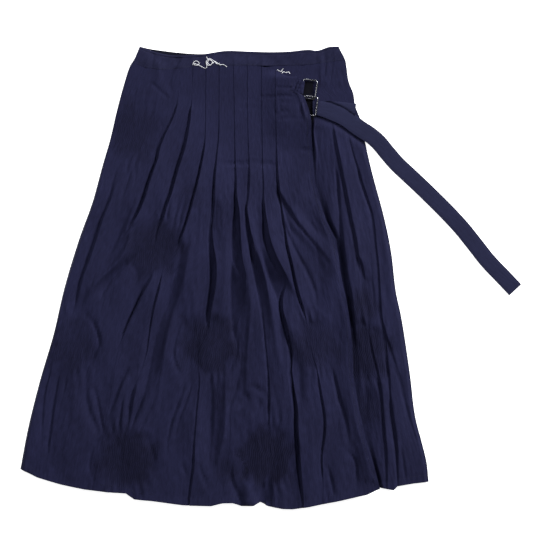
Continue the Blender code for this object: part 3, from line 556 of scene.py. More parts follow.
overPanel = {
    "columns": 560, "rows": 168, "rowPower": 1.28, "seamGap": 0.1,
    "crowd": 0.6,              # how close columns stand at each fold
    "weights": (92, 60, 46, 88, 54, 62, 44, 44, 70),
    "sewnStep": 1.0, "openStep": 2.6,
    "sewnEnd": 255, "openStart": 120,
    "trail": 17.0,
    "overhang": 1.6,           # mm that an open fold hangs over its groove
    "hangRise": (1.2, 5.0), "hangTrail": 6.0,
    "grooveRun": 3.0, "grooveLap": 0.6, "grooveDepth": 0.9, "grooveFull": 2,
    "puff": 8.0, "sewnPuff": 1.6, "foldScale": 1.9,
    "puffWaves": ((0.2, 70, 260, 11),),
    "lowSide": 0.52, "lowSideWidth": 220,      # the cloth lies lower towards the left side
    "softFloor": 0.5, "softCeiling": 9, "ceiling": 17.0,
    "fanWidth": 620,           # mm of cloth across the fan of the pleats
    "wrinkles": ((0.17, 16, 90, 5), (0.07, 8, 40, 6), (0.26, 28, 30, 8), (0.12, 13, 15, 9)),
    "sewnWrinkles": 0.3,       # share of the wrinkles where the pleats are sewn down
    "dotPuff": 2.0,
    # every pleat: rows of y, x of its fold, width of the groove in front, height
    "pleats": {
        "p1": (
            (356, -154, 0, 0.2), (302, -158, 0, 0.6), (285, -160.5, 1.6, 2.4), (268, -166.5, 2.4, 3),
            (242, -178.5, 3.4, 4), (217, -187.5, 4, 4.6), (200, -191, 4, 4.6), (183, -197.5, 4, 4.6),
            (166, -203.5, 4, 4.6), (149, -208.5, 4.4, 4.6), (132, -214, 4.6, 4.6), (115, -221, 4.6, 4.4),
            (98, -230, 4.4, 3.8), (88, -237, 2.4, 2), (76, -244, 0, 0.4), (55, -255, 0, 0.2),
            (-21, -278, 0, 0.2), (-140, -313, 0, 0.2), (-361, -369, 0, 0.2)),
        "p2": (
            (356, -132, 0, 0.8), (293, -134.8, 0, 1.1), (285, -135.1, 1.6, 2.4), (268, -136, 3, 3.4),
            (251, -137.9, 4.2, 4.4), (225, -142.9, 5, 4.8), (208, -147.8, 5.2, 4.8), (191, -153.7, 5, 4.8),
            (166, -160.7, 5, 4.8), (140, -168.2, 4.5, 4.6), (118, -176.4, 4.5, 4.6), (101, -181.1, 4, 4),
            (81, -191, 2, 2.4), (50, -197, 0, 0.15), (10, -199, 0, 0.15), (-8, -206, 0.6, 1.6),
            (-30, -218, 1.6, 3), (-58, -232, 1.6, 3.2), (-88, -246, 1.2, 2.6), (-118, -257, 0, 0.8),
            (-200, -272, 0, 0.4), (-361, -303, 0, 0.3)),
        "p3": (
            (356, -110, 0, 0.8), (293, -110.5, 0, 0.9), (247, -110.9, 0, 1.1), (225, -112, 1, 2),
            (208, -113.6, 2, 3), (183, -118.3, 2.2, 3.6), (158, -123.7, 2.2, 4), (132, -130.5, 2.4, 4),
            (106, -137.8, 2.4, 3.8), (84, -144.8, 2.4, 3.8), (68, -150.4, 2.4, 3.6),
            (55, -154.5, 1.4, 2.2), (44, -162, 0, 0.3), (12, -183.4, 0, 0.4), (0, -185.5, 0.8, 2),
            (-20, -189, 1.2, 3), (-55, -197.8, 1.2, 2.8), (-90, -204.4, 1, 2.4), (-125, -210, 0.8, 2),
            (-157, -219, 0, 0.8), (-188, -232, 0, 0.8), (-225, -240, 0, 0.8), (-255, -245, 0, 0.6),
            (-375, -259, 0, 0.3)),
        "p4": (
            (356, -87.5, 0, 0.8), (285, -88, 0, 0.9), (245, -88, 0.8, 1.4), (208, -91, 1, 2),
            (174, -93.5, 1.8, 3), (149, -94.5, 2.2, 3.6), (132, -94.5, 3, 4), (115, -96, 3.4, 4),
            (98, -98, 4, 4), (81, -99, 4.6, 4.4), (64, -98, 6, 5), (47, -95.5, 8, 5.6),
            (30, -92.5, 9.5, 6.2), (-4, -92, 9, 6.4), (-38, -97, 8, 6.2), (-58, -101, 7, 5.4),
            (-72, -103, 5, 4), (-90, -107, 0, 1), (-123, -121, 0.6, 1.6), (-150, -123, 0, 0.6),
            (-175, -121, 0.6, 1.4), (-225, -125, 0.8, 1.8), (-276, -129, 0.9, 1.9),
            (-320, -130.5, 1.6, 2.4), (-350, -134.5, 1.6, 2.2), (-375, -138, 1.4, 2)),
        "p5": (
            (356, -63.5, 0, 0.8), (285, -62, 0, 0.9), (225, -61, 0.3, 1.2), (191, -60, 1, 1.8),
            (165, -58.5, 1.4, 2.4), (140, -57.5, 2.4, 4), (115, -53.5, 7, 6), (98, -52, 10.5, 6.8),
            (64, -50.3, 13.5, 7), (47, -49, 15, 6.6), (30, -47.5, 15, 5.4), (15, -45, 11, 2.6),
            (0, -43, 4, 0.9), (-38, -46, 0, 0.5), (-92, -60, 0, 0.5), (-185, -66, 0, 0.4),
            (-262, -69, 0, 0.4), (-300, -71, 0, 0.4), (-375, -84, 0, 0.4)),
        "p6": (
            (356, -40, 0, 0.8), (285, -39.5, 0, 0.9), (225, -38, 0.3, 1.2), (191, -36.5, 0.8, 1.6),
            (165, -36, 1.6, 2.4), (132, -38.5, 1, 2.4), (118, -40, 2, 3.4), (98, -37, 4.4, 4.6),
            (80, -34, 7, 5), (64, -30, 7.6, 5), (47, -27.5, 7, 4), (30, -25, 6, 2.4), (13, -21, 2, 1),
            (-13, -18, 0, 0.6), (-55, -14, 0, 0.6), (-115, -8.5, 0.4, 1), (-157, -4.5, 0.6, 1.2),
            (-200, -2, 1.2, 2), (-225, -2, 1.6, 2.4), (-245, -3, 0.8, 1.6), (-252, -4, 0, 0.8),
            (-300, 0, 0, 0.4), (-375, 2, 0, 0.4)),
        "p7": (
            (356, -16, 0, 0.8), (285, -15.5, 0, 0.9), (225, -14.5, 0.3, 1.2), (191, -14, 0.6, 1.4),
            (158, -12.5, 0.8, 1.6), (132, -12, 1, 2.2), (115, -9.5, 3, 3.6), (98, -6.6, 5, 5),
            (81, -4, 8, 5.4), (64, 0, 10.5, 5.6), (47, 6, 11.5, 5), (30, 13, 11.5, 4.2), (13, 21, 9, 2.6),
            (-2, 27, 6, 1.2), (-17, 24, 2, 1), (-30, 20.5, 3, 2.6), (-38, 20, 3.6, 4), (-55, 21, 4.6, 5),
            (-72, 25.5, 5.6, 5.6), (-98, 32, 5, 5.2), (-123, 36.5, 4.4, 3.8), (-157, 36, 4.4, 3.6),
            (-183, 39, 4.8, 4), (-225, 46, 5, 5), (-250, 46.5, 5, 6), (-290, 49, 5.4, 6.4),
            (-318, 51, 5, 6), (-345, 52.5, 2.8, 4), (-378, 55, 1.2, 2)),
        "p8": (
            (356, 7.5, 0, 0.8), (285, 8, 0, 0.9), (225, 9.5, 0.4, 1.2), (191, 11, 1.2, 2), (158, 14, 2, 3),
            (132, 17.5, 2.6, 4), (106, 21, 1.4, 2.8), (85, 24, 1.4, 2.8), (55, 29, 2, 3.4),
            (26, 36.5, 2.6, 4), (-4, 43, 3.4, 4.4), (-30, 49.5, 3, 4.2), (-50, 55, 2.4, 3.2),
            (-64, 58, 1, 2), (-80, 61, 0, 0.8), (-120, 68, 0, 0.5), (-157, 78, 0.6, 1.6),
            (-182, 83, 1.2, 2.2), (-208, 88, 1.6, 2.6), (-240, 93, 1.8, 2.8), (-265, 92.5, 1.8, 2.8),
            (-300, 87, 1.4, 2.2), (-335, 87.5, 0.8, 1.6), (-345, 88, 0, 0.8), (-380, 88, 0, 0.3)),
    },
    # troughs and ridges: y, x, reach left, reach right, depth
    "folds": {
        # left of the first pleat
        "topLeftDent": (
            (366.4, -161.5, 8, 4, 2), (359.6, -164.9, 9, 4, 2.2), (349.4, -170, 9, 4, 2.2),
            (335.8, -172.6, 9, 3.5, 1.5), (322.1, -170, 7, 3, 0.7), (308.6, -164.9, 5, 2, 0)),
        "topLeftLine": (
            (332.4, -203.1, 5, 1.4, 0), (325.6, -195.5, 5, 1.5, 1.5), (317.1, -187, 5, 1.5, 1.8),
            (308.6, -177.6, 5, 1.5, 1.4), (303.5, -173.4, 4, 1.4, 0)),
        "topLeftSoft": (
            (359.6, -192.1, 6, 4, 0), (352.8, -190.4, 6, 4, -0.9), (335.8, -192.1, 6, 5, -0.7),
            (318.8, -195.5, 6, 6, 0)),
        "gatherLeftA": (
            (303.5, -216.8, 4, 1.4, 0), (295, -220.2, 4, 1.5, 1.6), (281.4, -224.4, 4, 1.5, 1.2),
            (267.8, -227.8, 4, 1.4, 0)),
        "gatherLeftB": (
            (301.8, -206.5, 4, 1.4, 0), (293.2, -209.1, 4, 1.5, 1.5), (279.6, -213.3, 4, 1.5, 1.2),
            (267.8, -215.9, 4, 1.4, 0)),
        "gatherLeftC": (
            (300.1, -195.5, 4, 1.4, 0), (291.6, -198.1, 4, 1.5, 1.4), (278, -202.3, 4, 1.5, 1),
            (266.1, -204.8, 4, 1.4, 0)),
        "gatherLeftD": (
            (322.1, -227.8, 4, 1.4, 0), (301.8, -232, 4, 1.5, 1.4), (278, -236.3, 4, 1.5, 1.1),
            (257.6, -239.7, 4, 1.4, 0)),
        "leftHill": (
            (233.8, -277.1, 3, 13, 0), (148.8, -292.4, 3, 15, -1.6), (63.8, -320.4, 3, 15, -2.4),
            (-4.2, -342.6, 3, 15, -2.6), (-72.2, -364.6, 3, 14, -1.6), (-174.2, -389.3, 3, 14, -1.6),
            (-276.2, -411.4, 3, 14, -1.4), (-330.6, -419.9, 3, 12, -0.8)),
        "a": (
            (189.6, -260.1, 3, 1.5, 0), (169.2, -266, 3.4, 1.5, 1), (131.8, -275.2, 3.4, 1.5, 1.4),
            (97.8, -288.9, 3.4, 1.5, 1.6), (63.8, -299.4, 3.4, 1.5, 1.6), (29.8, -311.3, 3.4, 1.5, 1.8),
            (-4.2, -323.1, 3.4, 1.5, 1.8), (-34.8, -330.1, 3.2, 1.6, 1.4), (-58.6, -335.1, 3, 1.8, 0)),
        "aBehind": (
            (174.2, -257.5, 3, 12, 0), (131.8, -271.1, 2.6, 13, -1.4), (97.8, -284.8, 2.6, 14, -2.2),
            (63.8, -295.3, 2.6, 15, -2.6), (29.8, -307.2, 2.6, 14, -2.6), (-4.2, -319.1, 2.6, 10, -2),
            (-29.8, -325.9, 2.6, 8, -1), (-51.9, -330.1, 3, 8, 0)),
        "a2": (
            (192, -233, 2.6, 2.6, 0), (175, -239, 2.8, 2.6, 1.2), (150, -248, 3, 2.6, 1.2),
            (125, -256, 3, 2.6, 0)),
        "a3": (
            (135.2, -229.5, 7, 3, 0), (111.4, -241.4, 10, 4, 1.6), (84.2, -253.3, 11, 5, 2.8),
            (60.4, -263.5, 11, 5, 2.6), (39.9, -273.7, 10, 5, 1.8), (16.2, -289, 8, 4, 0)),
        "dotTwoSide": (
            (87.6, -236.3, 4, 4, 0), (70.6, -239.7, 4, 4, -2), (50.2, -244.8, 4, 5, -3),
            (33.2, -254.2, 5, 6, -3.4), (19.6, -266, 6, 6, -3.4), (5.9, -280.5, 6, 6, -3.2),
            (-7.6, -294.9, 6, 6, -2.6), (-24.6, -306.9, 5, 5, -1.8), (-45, -314.5, 4, 4, 0)),
        "dotTwoUnder": (
            (46.8, -222.7, 8, 2.6, 0), (34.9, -231.2, 8, 2.6, 2.2), (22.9, -243.1, 9, 3, 3.2),
            (9.4, -256.7, 9, 3, 3.2), (-4.2, -270.3, 9, 3, 2.6), (-21.2, -282.2, 8, 3, 1.6),
            (-38.2, -290.7, 7, 3, 0)),
        "loop": (
            (28, -246, 2.6, 2.6, 0), (22, -236, 2.6, 2.6, 1.3), (8, -227, 2.6, 2.6, 1.3),
            (0, -226, 2.6, 2.6, 1.1), (-8, -240, 3, 3, 0)),
        # between the pleats that open on the left
        "q1": (
            (140, -165, 2.4, 3, 0), (125, -171, 2.6, 3, 1.4), (100, -176, 2.6, 3, 1.5),
            (78, -181, 2.6, 3, 0)),
        "q2": (
            (142, -154, 2.4, 3, 0), (120, -159, 2.6, 3, 1.5), (95, -165, 2.6, 3, 1.5), (72, -170, 2.6, 3, 0)),
        "q3": (
            (140, -145, 2.4, 3, 0), (118, -150, 2.6, 3, 1.3), (90, -156, 2.6, 3, 1.3), (70, -160, 2.6, 3, 0)),
        "lineOne": (
            (12.8, -198.9, 4, 2.4, 0), (0.9, -204.8, 5, 2.6, 2), (-17.8, -215.9, 6, 2.8, 2.4),
            (-46.8, -227.8, 5, 2.8, 2), (-72.2, -239.7, 5, 3, 1.2), (-102.9, -254.2, 5, 3, 0)),
        "nThreeDark": (
            (70.6, -153, 3, 3, 0), (46.8, -153, 4, 5, 1.8), (26.4, -154.8, 6, 7, 2.8),
            (4.2, -159.7, 9, 9.5, 3.6), (-21.2, -167.2, 11, 11, 4.2), (-46.8, -175, 13, 12.5, 4.6),
            (-72.2, -185.9, 13, 13, 4.8), (-106.2, -196.4, 13, 13, 4.6), (-140, -203, 12, 11, 4.2),
            (-174, -210, 10, 9.5, 3.8), (-208, -218.5, 8, 7.5, 2.8), (-232, -228, 6, 5, 1.6),
            (-252, -234, 4, 4, 0)),
        "nThreeCrest": (
            (89.2, -134.3, 3, 16, 0), (63.8, -135.1, 3, 22, -1), (29.8, -140.2, 4, 28, -1.6),
            (-4.2, -147.9, 5, 28, -1.8), (-38.2, -157.2, 5, 26, -2), (-72.2, -169.1, 5, 22, -2),
            (-114.8, -178.5, 5, 20, -2), (-143.6, -181.9, 5, 18, -2), (-182.8, -187.9, 5, 15, -1.6),
            (-225.2, -195.5, 5, 13, -1), (-259.2, -204, 5, 10, 0)),
        "faceFour": (
            (160, -112, 10, 9, 0), (110, -118, 12, 10, -1.2), (20, -124, 14, 10, -1.8),
            (-60, -134, 14, 12, -1.2), (-90, -138, 12, 12, 0)),
        "fourRamp": (
            (140, -93, 1.5, 4, 0), (115, -95, 1.5, 9, 2), (98, -97, 1.5, 10, 2.8), (81, -98, 1.5, 10, 2.8),
            (64, -97, 1.5, 9, 2.2), (47, -94.5, 1.5, 7, 1.2), (30, -91.5, 1.5, 5, 0)),
        # the wide hollows in the middle
        "ridgeFive": (
            (106.2, -78.2, 10, 5, 0), (63.8, -76.5, 10, 5, -1.2), (-4.2, -77.4, 11, 5, -1.8),
            (-72.2, -81.6, 10, 5, -1), (-106.2, -83.3, 10, 5, 0)),
        "fiveRamp": (
            (38.2, -65.4, 1.5, 7, 0), (19.6, -66.3, 1.5, 12, 2.6), (-4.2, -68, 1.5, 16, 5.4),
            (-38.2, -68, 1.5, 15, 5), (-72.2, -67.1, 1.6, 14, 3.2), (-106.2, -62.9, 2, 12, 1.4),
            (-133.4, -59.5, 2, 9, 0)),
        "ridgeSix": (
            (50.2, -45.9, 5, 5, 0), (26.4, -42.5, 6, 7, -1.6), (-4.2, -39.1, 8, 9, -2.6),
            (-38.2, -34, 9, 10, -3), (-72.2, -34.9, 6, 13, -2.04), (-123.2, -39.1, 3, 17, -1.92),
            (-174.2, -41.6, 4, 18, -1.44), (-211.6, -42.5, 6, 15, 0)),
        "sixDeep": (
            (56.9, -35.7, 2, 5, 0), (29.8, -33.1, 1.5, 11, 3.4), (-4.2, -26.4, 1.5, 11, 3.4),
            (-38.2, -19.6, 1.6, 10, 2.4), (-72.2, -14.4, 1.8, 9, 1.8), (-123.2, -9.4, 2, 8, 1.6),
            (-174.2, -5.1, 2.4, 7, 1.4), (-208.2, -3.4, 2.4, 5, 0)),
        "ridgeSeven": (
            (89.2, -28.9, 3, 3, 0), (63.8, -27.2, 4, 4, -1.2), (29.8, -17.9, 5, 4, -2.6),
            (-4.2, -8.8, 4, 4.4, -3.2), (-38.2, -1.7, 5, 6, -3.2), (-72.2, 4.2, 6, 7, -2.6),
            (-123.2, 11.1, 7, 8, -1.8), (-165.8, 15.3, 7, 8, 0)),
        "sevenRamp": (
            (50.2, -15.3, 2, 9, 0), (26.4, -10.2, 1.5, 13, 2.4), (-4.2, -1.7, 1.5, 18, 4.8),
            (-24.6, 5.1, 1.5, 17, 4), (-41.6, 11.1, 1.6, 13, 2.2), (-58.6, 13.6, 2, 9, 0)),
        "sevenSoft": (
            (-89.2, 28.9, 2, 6, 0), (-114.8, 34, 2, 10, 1.6), (-140.2, 36.6, 2, 12, 2.4),
            (-182.8, 39.1, 2, 10, 2.2), (-216.8, 40.8, 2, 8, 1.6), (-250.8, 41.6, 2, 6, 0)),
        "crestSeven": (
            (106, -5, 4, 8, 0), (85, -2, 4, 9, -2), (60, 1, 4, 10, -2.6), (38, 11, 4, 10, -2.8),
            (10, 24, 4, 9, -2.8), (-10, 33, 3.4, 8, -2), (-30, 41, 3.4, 7, 0)),
        "bumpSeven": (
            (-38.2, 30.6, 4, 7, 0), (-72.2, 32.3, 5, 9, -1.2), (-114.8, 44.2, 6, 10, -1.6),
            (-148.8, 49.3, 6, 10, 0)),
        # the fold that leaves the last pleat for the right
        "k": (
            (155.6, 10.2, 4, 2, 0), (143.7, 14.4, 6, 2, 2.2), (128.4, 22.1, 7, 2.2, 3.2),
            (114.8, 30.6, 7, 2.2, 2.6), (97.8, 40.8, 6, 2.2, 1.9), (79.1, 55.2, 5, 2, 1.6),
            (62.1, 69.7, 4, 2, 1.5), (46.8, 81.6, 4, 2, 0.9), (33.2, 91.8, 4, 2, 0.5),
            (19.6, 100.3, 3, 2, 0)),
        "kShade": (
            (128.4, 18.7, 1.5, 4, 0), (116.4, 22.1, 1.8, 9, 1.9), (99.4, 27.2, 2, 12, 1.8),
            (77.4, 34, 2, 12, 1.1), (55.2, 39.1, 2, 8, 0)),
        "kCrest": (
            (128.4, 25.5, 6, 9, 0), (114.8, 34, 10, 10, -1.8), (94.4, 45.9, 15, 12, -2.8),
            (63.8, 72.2, 15, 13, -2.6), (33.2, 98.6, 14, 12, -1.6), (-4.2, 117.3, 12, 9, 0)),
        "kTwo": (
            (94.4, 22.1, 4, 3, 0), (72.2, 29.8, 4, 3, 1.1), (46.8, 41.6, 5, 3, 1.3),
            (26.4, 52.7, 5, 3, 1.4), (4.2, 63.7, 6, 3.4, 1.4), (-21.2, 73.9, 6, 4, 1.2),
            (-46.8, 78.2, 5, 4, 0.8), (-68.9, 78.2, 4, 4, 0)),
        "kThree": (
            (26.4, 79.9, 6, 5, 0), (-4.2, 83.3, 7, 6, 0.8), (-38.2, 86.7, 7, 6, 1), (-68.9, 91.8, 7, 6, 0)),
        # below the middle
        "faceSix": ((-187.9, -56.1, 12, 13, 0), (-225.2, -59.5, 12, 14, -1.2), (-259.2, -59.5, 12, 13, 0)),
        "besideSix": (
            (-130, -50, 5, 4, 0), (-165, -54, 6, 4, 1.4), (-200, -64, 6, 4, 1.8), (-230, -72, 5, 4, 1),
            (-260, -76, 5, 4, 0)),
        "crumpleOne": (
            (-180, -32, 8, 5, 0), (-188, -24, 8, 5, 1.6), (-195, -14, 8, 5, 1.2), (-202, -10, 6, 5, 0)),
        "crumpleTwo": (
            (-190, -50, 7, 4, 0), (-202, -40, 7, 4, 1.5), (-214, -46, 7, 4, 1.2), (-222, -60, 6, 4, 0)),
        "crumpleThree": (
            (-198, -28, 6, 5, 0), (-212, -20, 6, 5, 1.2), (-226, -24, 6, 5, 1), (-236, -34, 6, 5, 0)),
        "brightLine": (
            (-215, -73, 3, 4, 0), (-235, -76, 3, 4, -1.8), (-270, -80, 3.4, 4.4, -2.2),
            (-305, -88, 4, 5, -1.4), (-325, -94, 4, 5, 0)),
        "sevenDown": (
            (-125, 42, 6, 8, 0), (-165, 48, 6, 9, 1.6), (-205, 50, 6, 8, 1.6), (-235, 50, 5, 7, 0)),
        "nSeven": (
            (-150.4, -103.3, 11.2, 3, 0), (-167.4, -102.4, 12.8, 3.4, 1.6),
            (-208.2, -101, 12.8, 3.4, 1.76), (-250.8, -101.4, 12.8, 3.4, 1.6),
            (-293.2, -103.6, 11.2, 3.4, 0.96), (-330.6, -106.6, 9.6, 3, 0)),
        "nSevenCrest": (
            (-153.9, -78.9, 5, 8, 0), (-174.2, -76.9, 5, 10, -1.4), (-225.2, -77.8, 5, 11, -1.8),
            (-276.2, -87.1, 4, 5, -1.2), (-318.8, -93.3, 5, 5, 0)),
        "arcLow": (
            (-318, -123, 3, 3, 0), (-330, -118, 3, 3, 1.2), (-345, -112, 3, 3, 1.2), (-360, -102, 3, 3, 0)),
        "arcLowTwo": ((-312, -152, 3, 3, 0), (-325, -148, 3, 3, 1), (-342, -140, 3, 3, 0)),
        "hemCurl": (
            (-313.6, -66.3, 5, 3, 0), (-330.6, -68, 6, 3, 1.4), (-347.6, -64.6, 6, 3, 1.8),
            (-364.6, -56.1, 6, 3, 1.8), (-383.4, -47.6, 6, 3, 1.2)),
        "hemCurlTwo": (
            (-324, -54, 3, 3, 0), (-340, -44, 3, 3, 1.3), (-358, -30, 3, 3, 1.3), (-375, -20, 3, 3, 0)),
        "hemPinch": (
            (-334, -13.6, 4, 2.4, 0), (-354.4, -13.6, 5, 2, 1.8), (-371.4, -14.4, 6, 2, 3),
            (-388.4, -15.3, 6, 2, 3.4)),
        "hemNotch": (
            (-250, 2, 10, 10, 0), (-290, 4, 12, 12, 1.6), (-330, 0, 12, 13, 2.6), (-360, -10, 9, 11, 4),
            (-385, -16, 8, 8, 4.6)),
        "hemTongue": ((-330, -36, 7, 8, 0), (-355, -38, 8, 9, -2.4), (-386, -40, 9, 10, -3)),
        # left of the fourth pleat, down to the hem
        "pairDark": (
            (-177.6, -144.5, 3, 1.5, 0), (-194.6, -149.6, 4, 1.6, 1.3), (-216.8, -158.1, 4, 1.6, 1.5),
            (-245.6, -168.3, 4, 1.6, 1.4), (-276.2, -175.1, 4, 1.6, 1), (-306.9, -176.8, 3, 1.5, 0)),
        "pairCrest": (
            (-181, -137.7, 3, 3, 0), (-208.2, -147.9, 3, 3, -0.8), (-242.2, -161.5, 3, 3, -0.8),
            (-276.2, -170, 3, 3, 0)),
        "pairRight": (
            (-174.2, -132.6, 3, 1.4, 0), (-194.6, -137.7, 4, 1.5, 1.2), (-221.9, -147.9, 4, 1.5, 1.3),
            (-250.8, -158.1, 4, 1.5, 1), (-272.9, -164.9, 3, 1.4, 0)),
        "nFour": (
            (-150, -238, 4, 2.4, 0), (-160, -244, 4.4, 2.6, 2), (-178, -254, 5, 2.8, 2.8),
            (-200, -262, 5, 2.8, 2.6), (-222, -270, 4, 3, 1.4), (-235, -274, 4, 3, 0)),
        "lineTwoLow": (
            (-160.6, -219.3, 4, 3, 0), (-181, -229.5, 4.4, 3, 1.2), (-208.2, -238.8, 5, 3, 1.5),
            (-233.8, -239.7, 5, 3, 1.4), (-262.6, -244.8, 4, 3, 0)),
        "intoSixA": (
            (-198, -249.9, 4, 1.5, 0), (-215, -252.4, 4, 1.6, 1.3), (-238.9, -255, 4, 1.6, 1.5),
            (-259.2, -258.4, 4, 1.5, 0)),
        "intoSixB": (
            (-184.4, -227.8, 5, 1.5, 0), (-201.4, -233.8, 5, 1.6, 1.5), (-228.6, -238.8, 5, 1.6, 1.8),
            (-259.2, -244.8, 4, 1.5, 0)),
        "intoSixC": (
            (-194.6, -212.5, 5, 1.5, 0), (-215, -221, 5, 1.6, 1.6), (-238.9, -230.3, 5, 1.6, 1.9),
            (-266, -241.4, 4, 1.5, 0)),
        "intoSixD": (
            (-204.9, -195.5, 5, 1.5, 0), (-225.2, -204.8, 5, 1.6, 1.3), (-245.6, -215.9, 5, 1.6, 1.5),
            (-266, -226.1, 4, 1.5, 0)),
        "belowThreeA": (
            (-153.9, -314.7, 5, 4, 0), (-174.2, -314.1, 7, 5, 1), (-208.2, -312.7, 9, 5, 2),
            (-233.8, -304.9, 8, 4, 1.8), (-255.9, -296.2, 6, 4, 1.4), (-272.9, -291, 4, 4, 0)),
        "belowThreeB": (
            (-181, -302.6, 4, 1.6, 0), (-199.8, -295.8, 4, 1.6, 1.2), (-225.2, -290.7, 4, 1.6, 1.5),
            (-250.8, -285.6, 4, 1.6, 1.3), (-266, -282.2, 4, 1.5, 0)),
        "belowThreeC": (
            (-157.2, -357.5, 5, 1.5, 0), (-174.2, -361.3, 5, 1.6, 1.4), (-208.2, -367.2, 5, 1.6, 1.6),
            (-250.8, -373, 5, 1.6, 1.5), (-284.8, -377.2, 5, 1.6, 1.2), (-306.9, -378.4, 4, 1.5, 0)),
        "belowThreeD": (
            (-148.8, -373.1, 5, 1.5, 0), (-164, -375.7, 5, 1.6, 1.4), (-182.8, -380.8, 5, 1.6, 1.5),
            (-204.9, -385.1, 5, 1.6, 1.2), (-250.8, -388.4, 5, 1.6, 0.8), (-284.8, -389.3, 4, 1.5, 0)),
        "belowThreeE": ((-164, -345.1, 4, 1.4, 0), (-181, -348.5, 4, 1.5, 1), (-201.4, -351.9, 4, 1.4, 0)),
        "sixLeft": (
            (-262.6, -287.3, 3, 3, 0), (-279.6, -295.8, 3, 3, 1.1), (-301.8, -306, 3, 3, 1.3),
            (-323.9, -307.7, 3, 3, 1.1), (-351, -297.5, 3, 3, 0)),
        "sixRight": (
            (-259.2, -217.6, 4, 2.2, 0), (-272.9, -209.1, 4, 2.2, 0.9), (-293.2, -200.6, 4, 2.2, 1.2),
            (-318.8, -198.9, 4, 2.2, 1), (-347.6, -207.4, 4, 2.2, 0)),
        "threeRight": (
            (-58.6, -317.9, 4, 3, 0), (-72.2, -304.3, 4, 2.6, 1.2), (-94.4, -294.1, 4, 2.6, 1.6),
            (-111.4, -291.5, 4, 2.6, 1.6), (-126.6, -296.6, 4, 2.6, 1.5), (-143.6, -306, 4, 2.6, 1.2),
            (-157.2, -312.8, 4, 3, 0)),
        "lowLeftSwell": (
            (-170, -330, 14, 14, 0), (-230, -335, 16, 16, -1.6), (-300, -345, 16, 18, -1.6),
            (-350, -350, 14, 16, 0)),
        "dotFourRight": (
            (-72.2, -73.1, 4, 2.6, 0), (-89.2, -64.6, 4, 2.6, 1.2), (-109.6, -57.8, 4, 2.6, 1.4),
            (-131.8, -58.6, 4, 2.6, 1.4), (-153.9, -68, 4, 2.6, 1), (-170.9, -74.8, 4, 2.6, 0)),
        "dotFourLeft": (
            (-68.9, -148, 4, 3, 0), (-89.2, -157.3, 4, 2.6, 1.2), (-114.8, -163.7, 4, 2.6, 1.5),
            (-136.9, -164.1, 4, 2.6, 1.6), (-157.2, -156.3, 4, 2.6, 1.2), (-170.9, -147.5, 4, 3, 0)),
        # right of the last pleat
        "nEleven": (
            (-150.4, 102.8, 3, 1.8, 0), (-170.9, 107.9, 4, 2, 1.8), (-204.9, 116.4, 5, 2, 2.2),
            (-233.8, 124.9, 5, 2, 1.6), (-259.2, 130.1, 4, 2, 1), (-286.4, 132.6, 4, 2, 0)),
        "nElevenLow": (
            (-285, 122, 3, 2, 0), (-298, 134, 3, 2, 1.2), (-312, 143, 3, 2, 1.44), (-335, 145, 3, 2, 1.2),
            (-356, 145, 3, 2, 0.6)),
        "byTen": ((-318, 95, 3, 3, 0), (-335, 100, 3, 3, 1.4), (-365, 106, 3, 3, 1)),
        "swellTen": (
            (-160, 58, 14, 12, 0), (-230, 66, 14, 12, -1.4), (-310, 70, 14, 12, -1.4), (-360, 72, 12, 10, 0)),
        "edgeHill": (
            (150, 62, 12, 10, 0), (100, 84, 13, 9, -1.8), (40, 102, 14, 8, -2.4), (-30, 116, 14, 8, -2),
            (-90, 127, 12, 8, -1), (-120, 130, 12, 8, 0)),
        "edgeHillLow": (
            (-150, 128, 12, 10, 0), (-220, 138, 12, 9, -2), (-290, 156, 12, 9, -2.2), (-345, 168, 12, 9, -1)),
        "nearGap": ((150, 84, 4, 4, 0), (130, 88, 5, 3, 1.6), (110, 92, 5, 3, 1), (90, 95, 4, 3, 0)),
        "rolledEdge": (
            (329, 32.3, 3, 3, 0), (318.8, 39.1, 3.4, 3, -1), (308.6, 46.8, 3.4, 3, -1.3),
            (293.2, 51.8, 3.4, 3, -1.3), (278, 56.9, 3.4, 3, -1), (264.4, 59.5, 3, 3, 0)),
        "besideRoll": (
            (315.4, 44.2, 4, 1.4, 0), (305.1, 49.3, 4, 1.6, 0.6), (293.2, 51, 4, 1.6, 1),
            (279.6, 51.8, 4, 1.6, 0.8), (267.8, 54.4, 4, 1.4, 0)),
    },
    "frontLift": 1.6, "frontLiftWidth": 9.0, "frontLiftBelow": (268, 284),      # the wrap edge stands up
    "hemSewn": 12.0,           # mm from the hem's edge to its sewing
    "hemStands": 0.35, "hemDrawn": 0.45, "hemStitchWidth": 1.3,
    "hemRipple": 0.22, "hemRippleAt": 9, "hemRippleWidth": 6,
    "tabLift": 8.0, "tabLiftX": (-24, 31), "tabLiftLow": (208, 272), "tabLiftHigh": (337, 353),
    "crossScale": 1.9, "crossWidth": 1.9, "crossFade": 10,
    # pressed and sewn lines across the pleats: y, from x, to x, depth
    "crossLines": ((307, -22, 40, 1.0), (301, -60, 36, 0.2), (297, 12, 34, 0.6), (281, 10, 34, 0.9),
                   (276, 2, 30, 0.4), (269, 6, 58, 0.6), (322, 4, 50, 0.7), (194, -92, 8, 1.3),
                   (190, -40, 26, 0.6),
                   (288, -60, -14, 0.3), (240, -30, 20, 0.25), (216, 46, 74, 1.0)),
}


def overRest(x, y):      # underside of the over panel where it lies flat
    side = x - leftSide(y)
    rest = layers["underRest"] + (layers["overRest"] - layers["underRest"]) * ease(side, 0, 60)
    onTabs = (ease(x, *overPanel["tabLiftX"]) * ease(y, *overPanel["tabLiftLow"])
              * (1 - ease(y, *overPanel["tabLiftHigh"])))
    return rest + overPanel["tabLift"] * onTabs


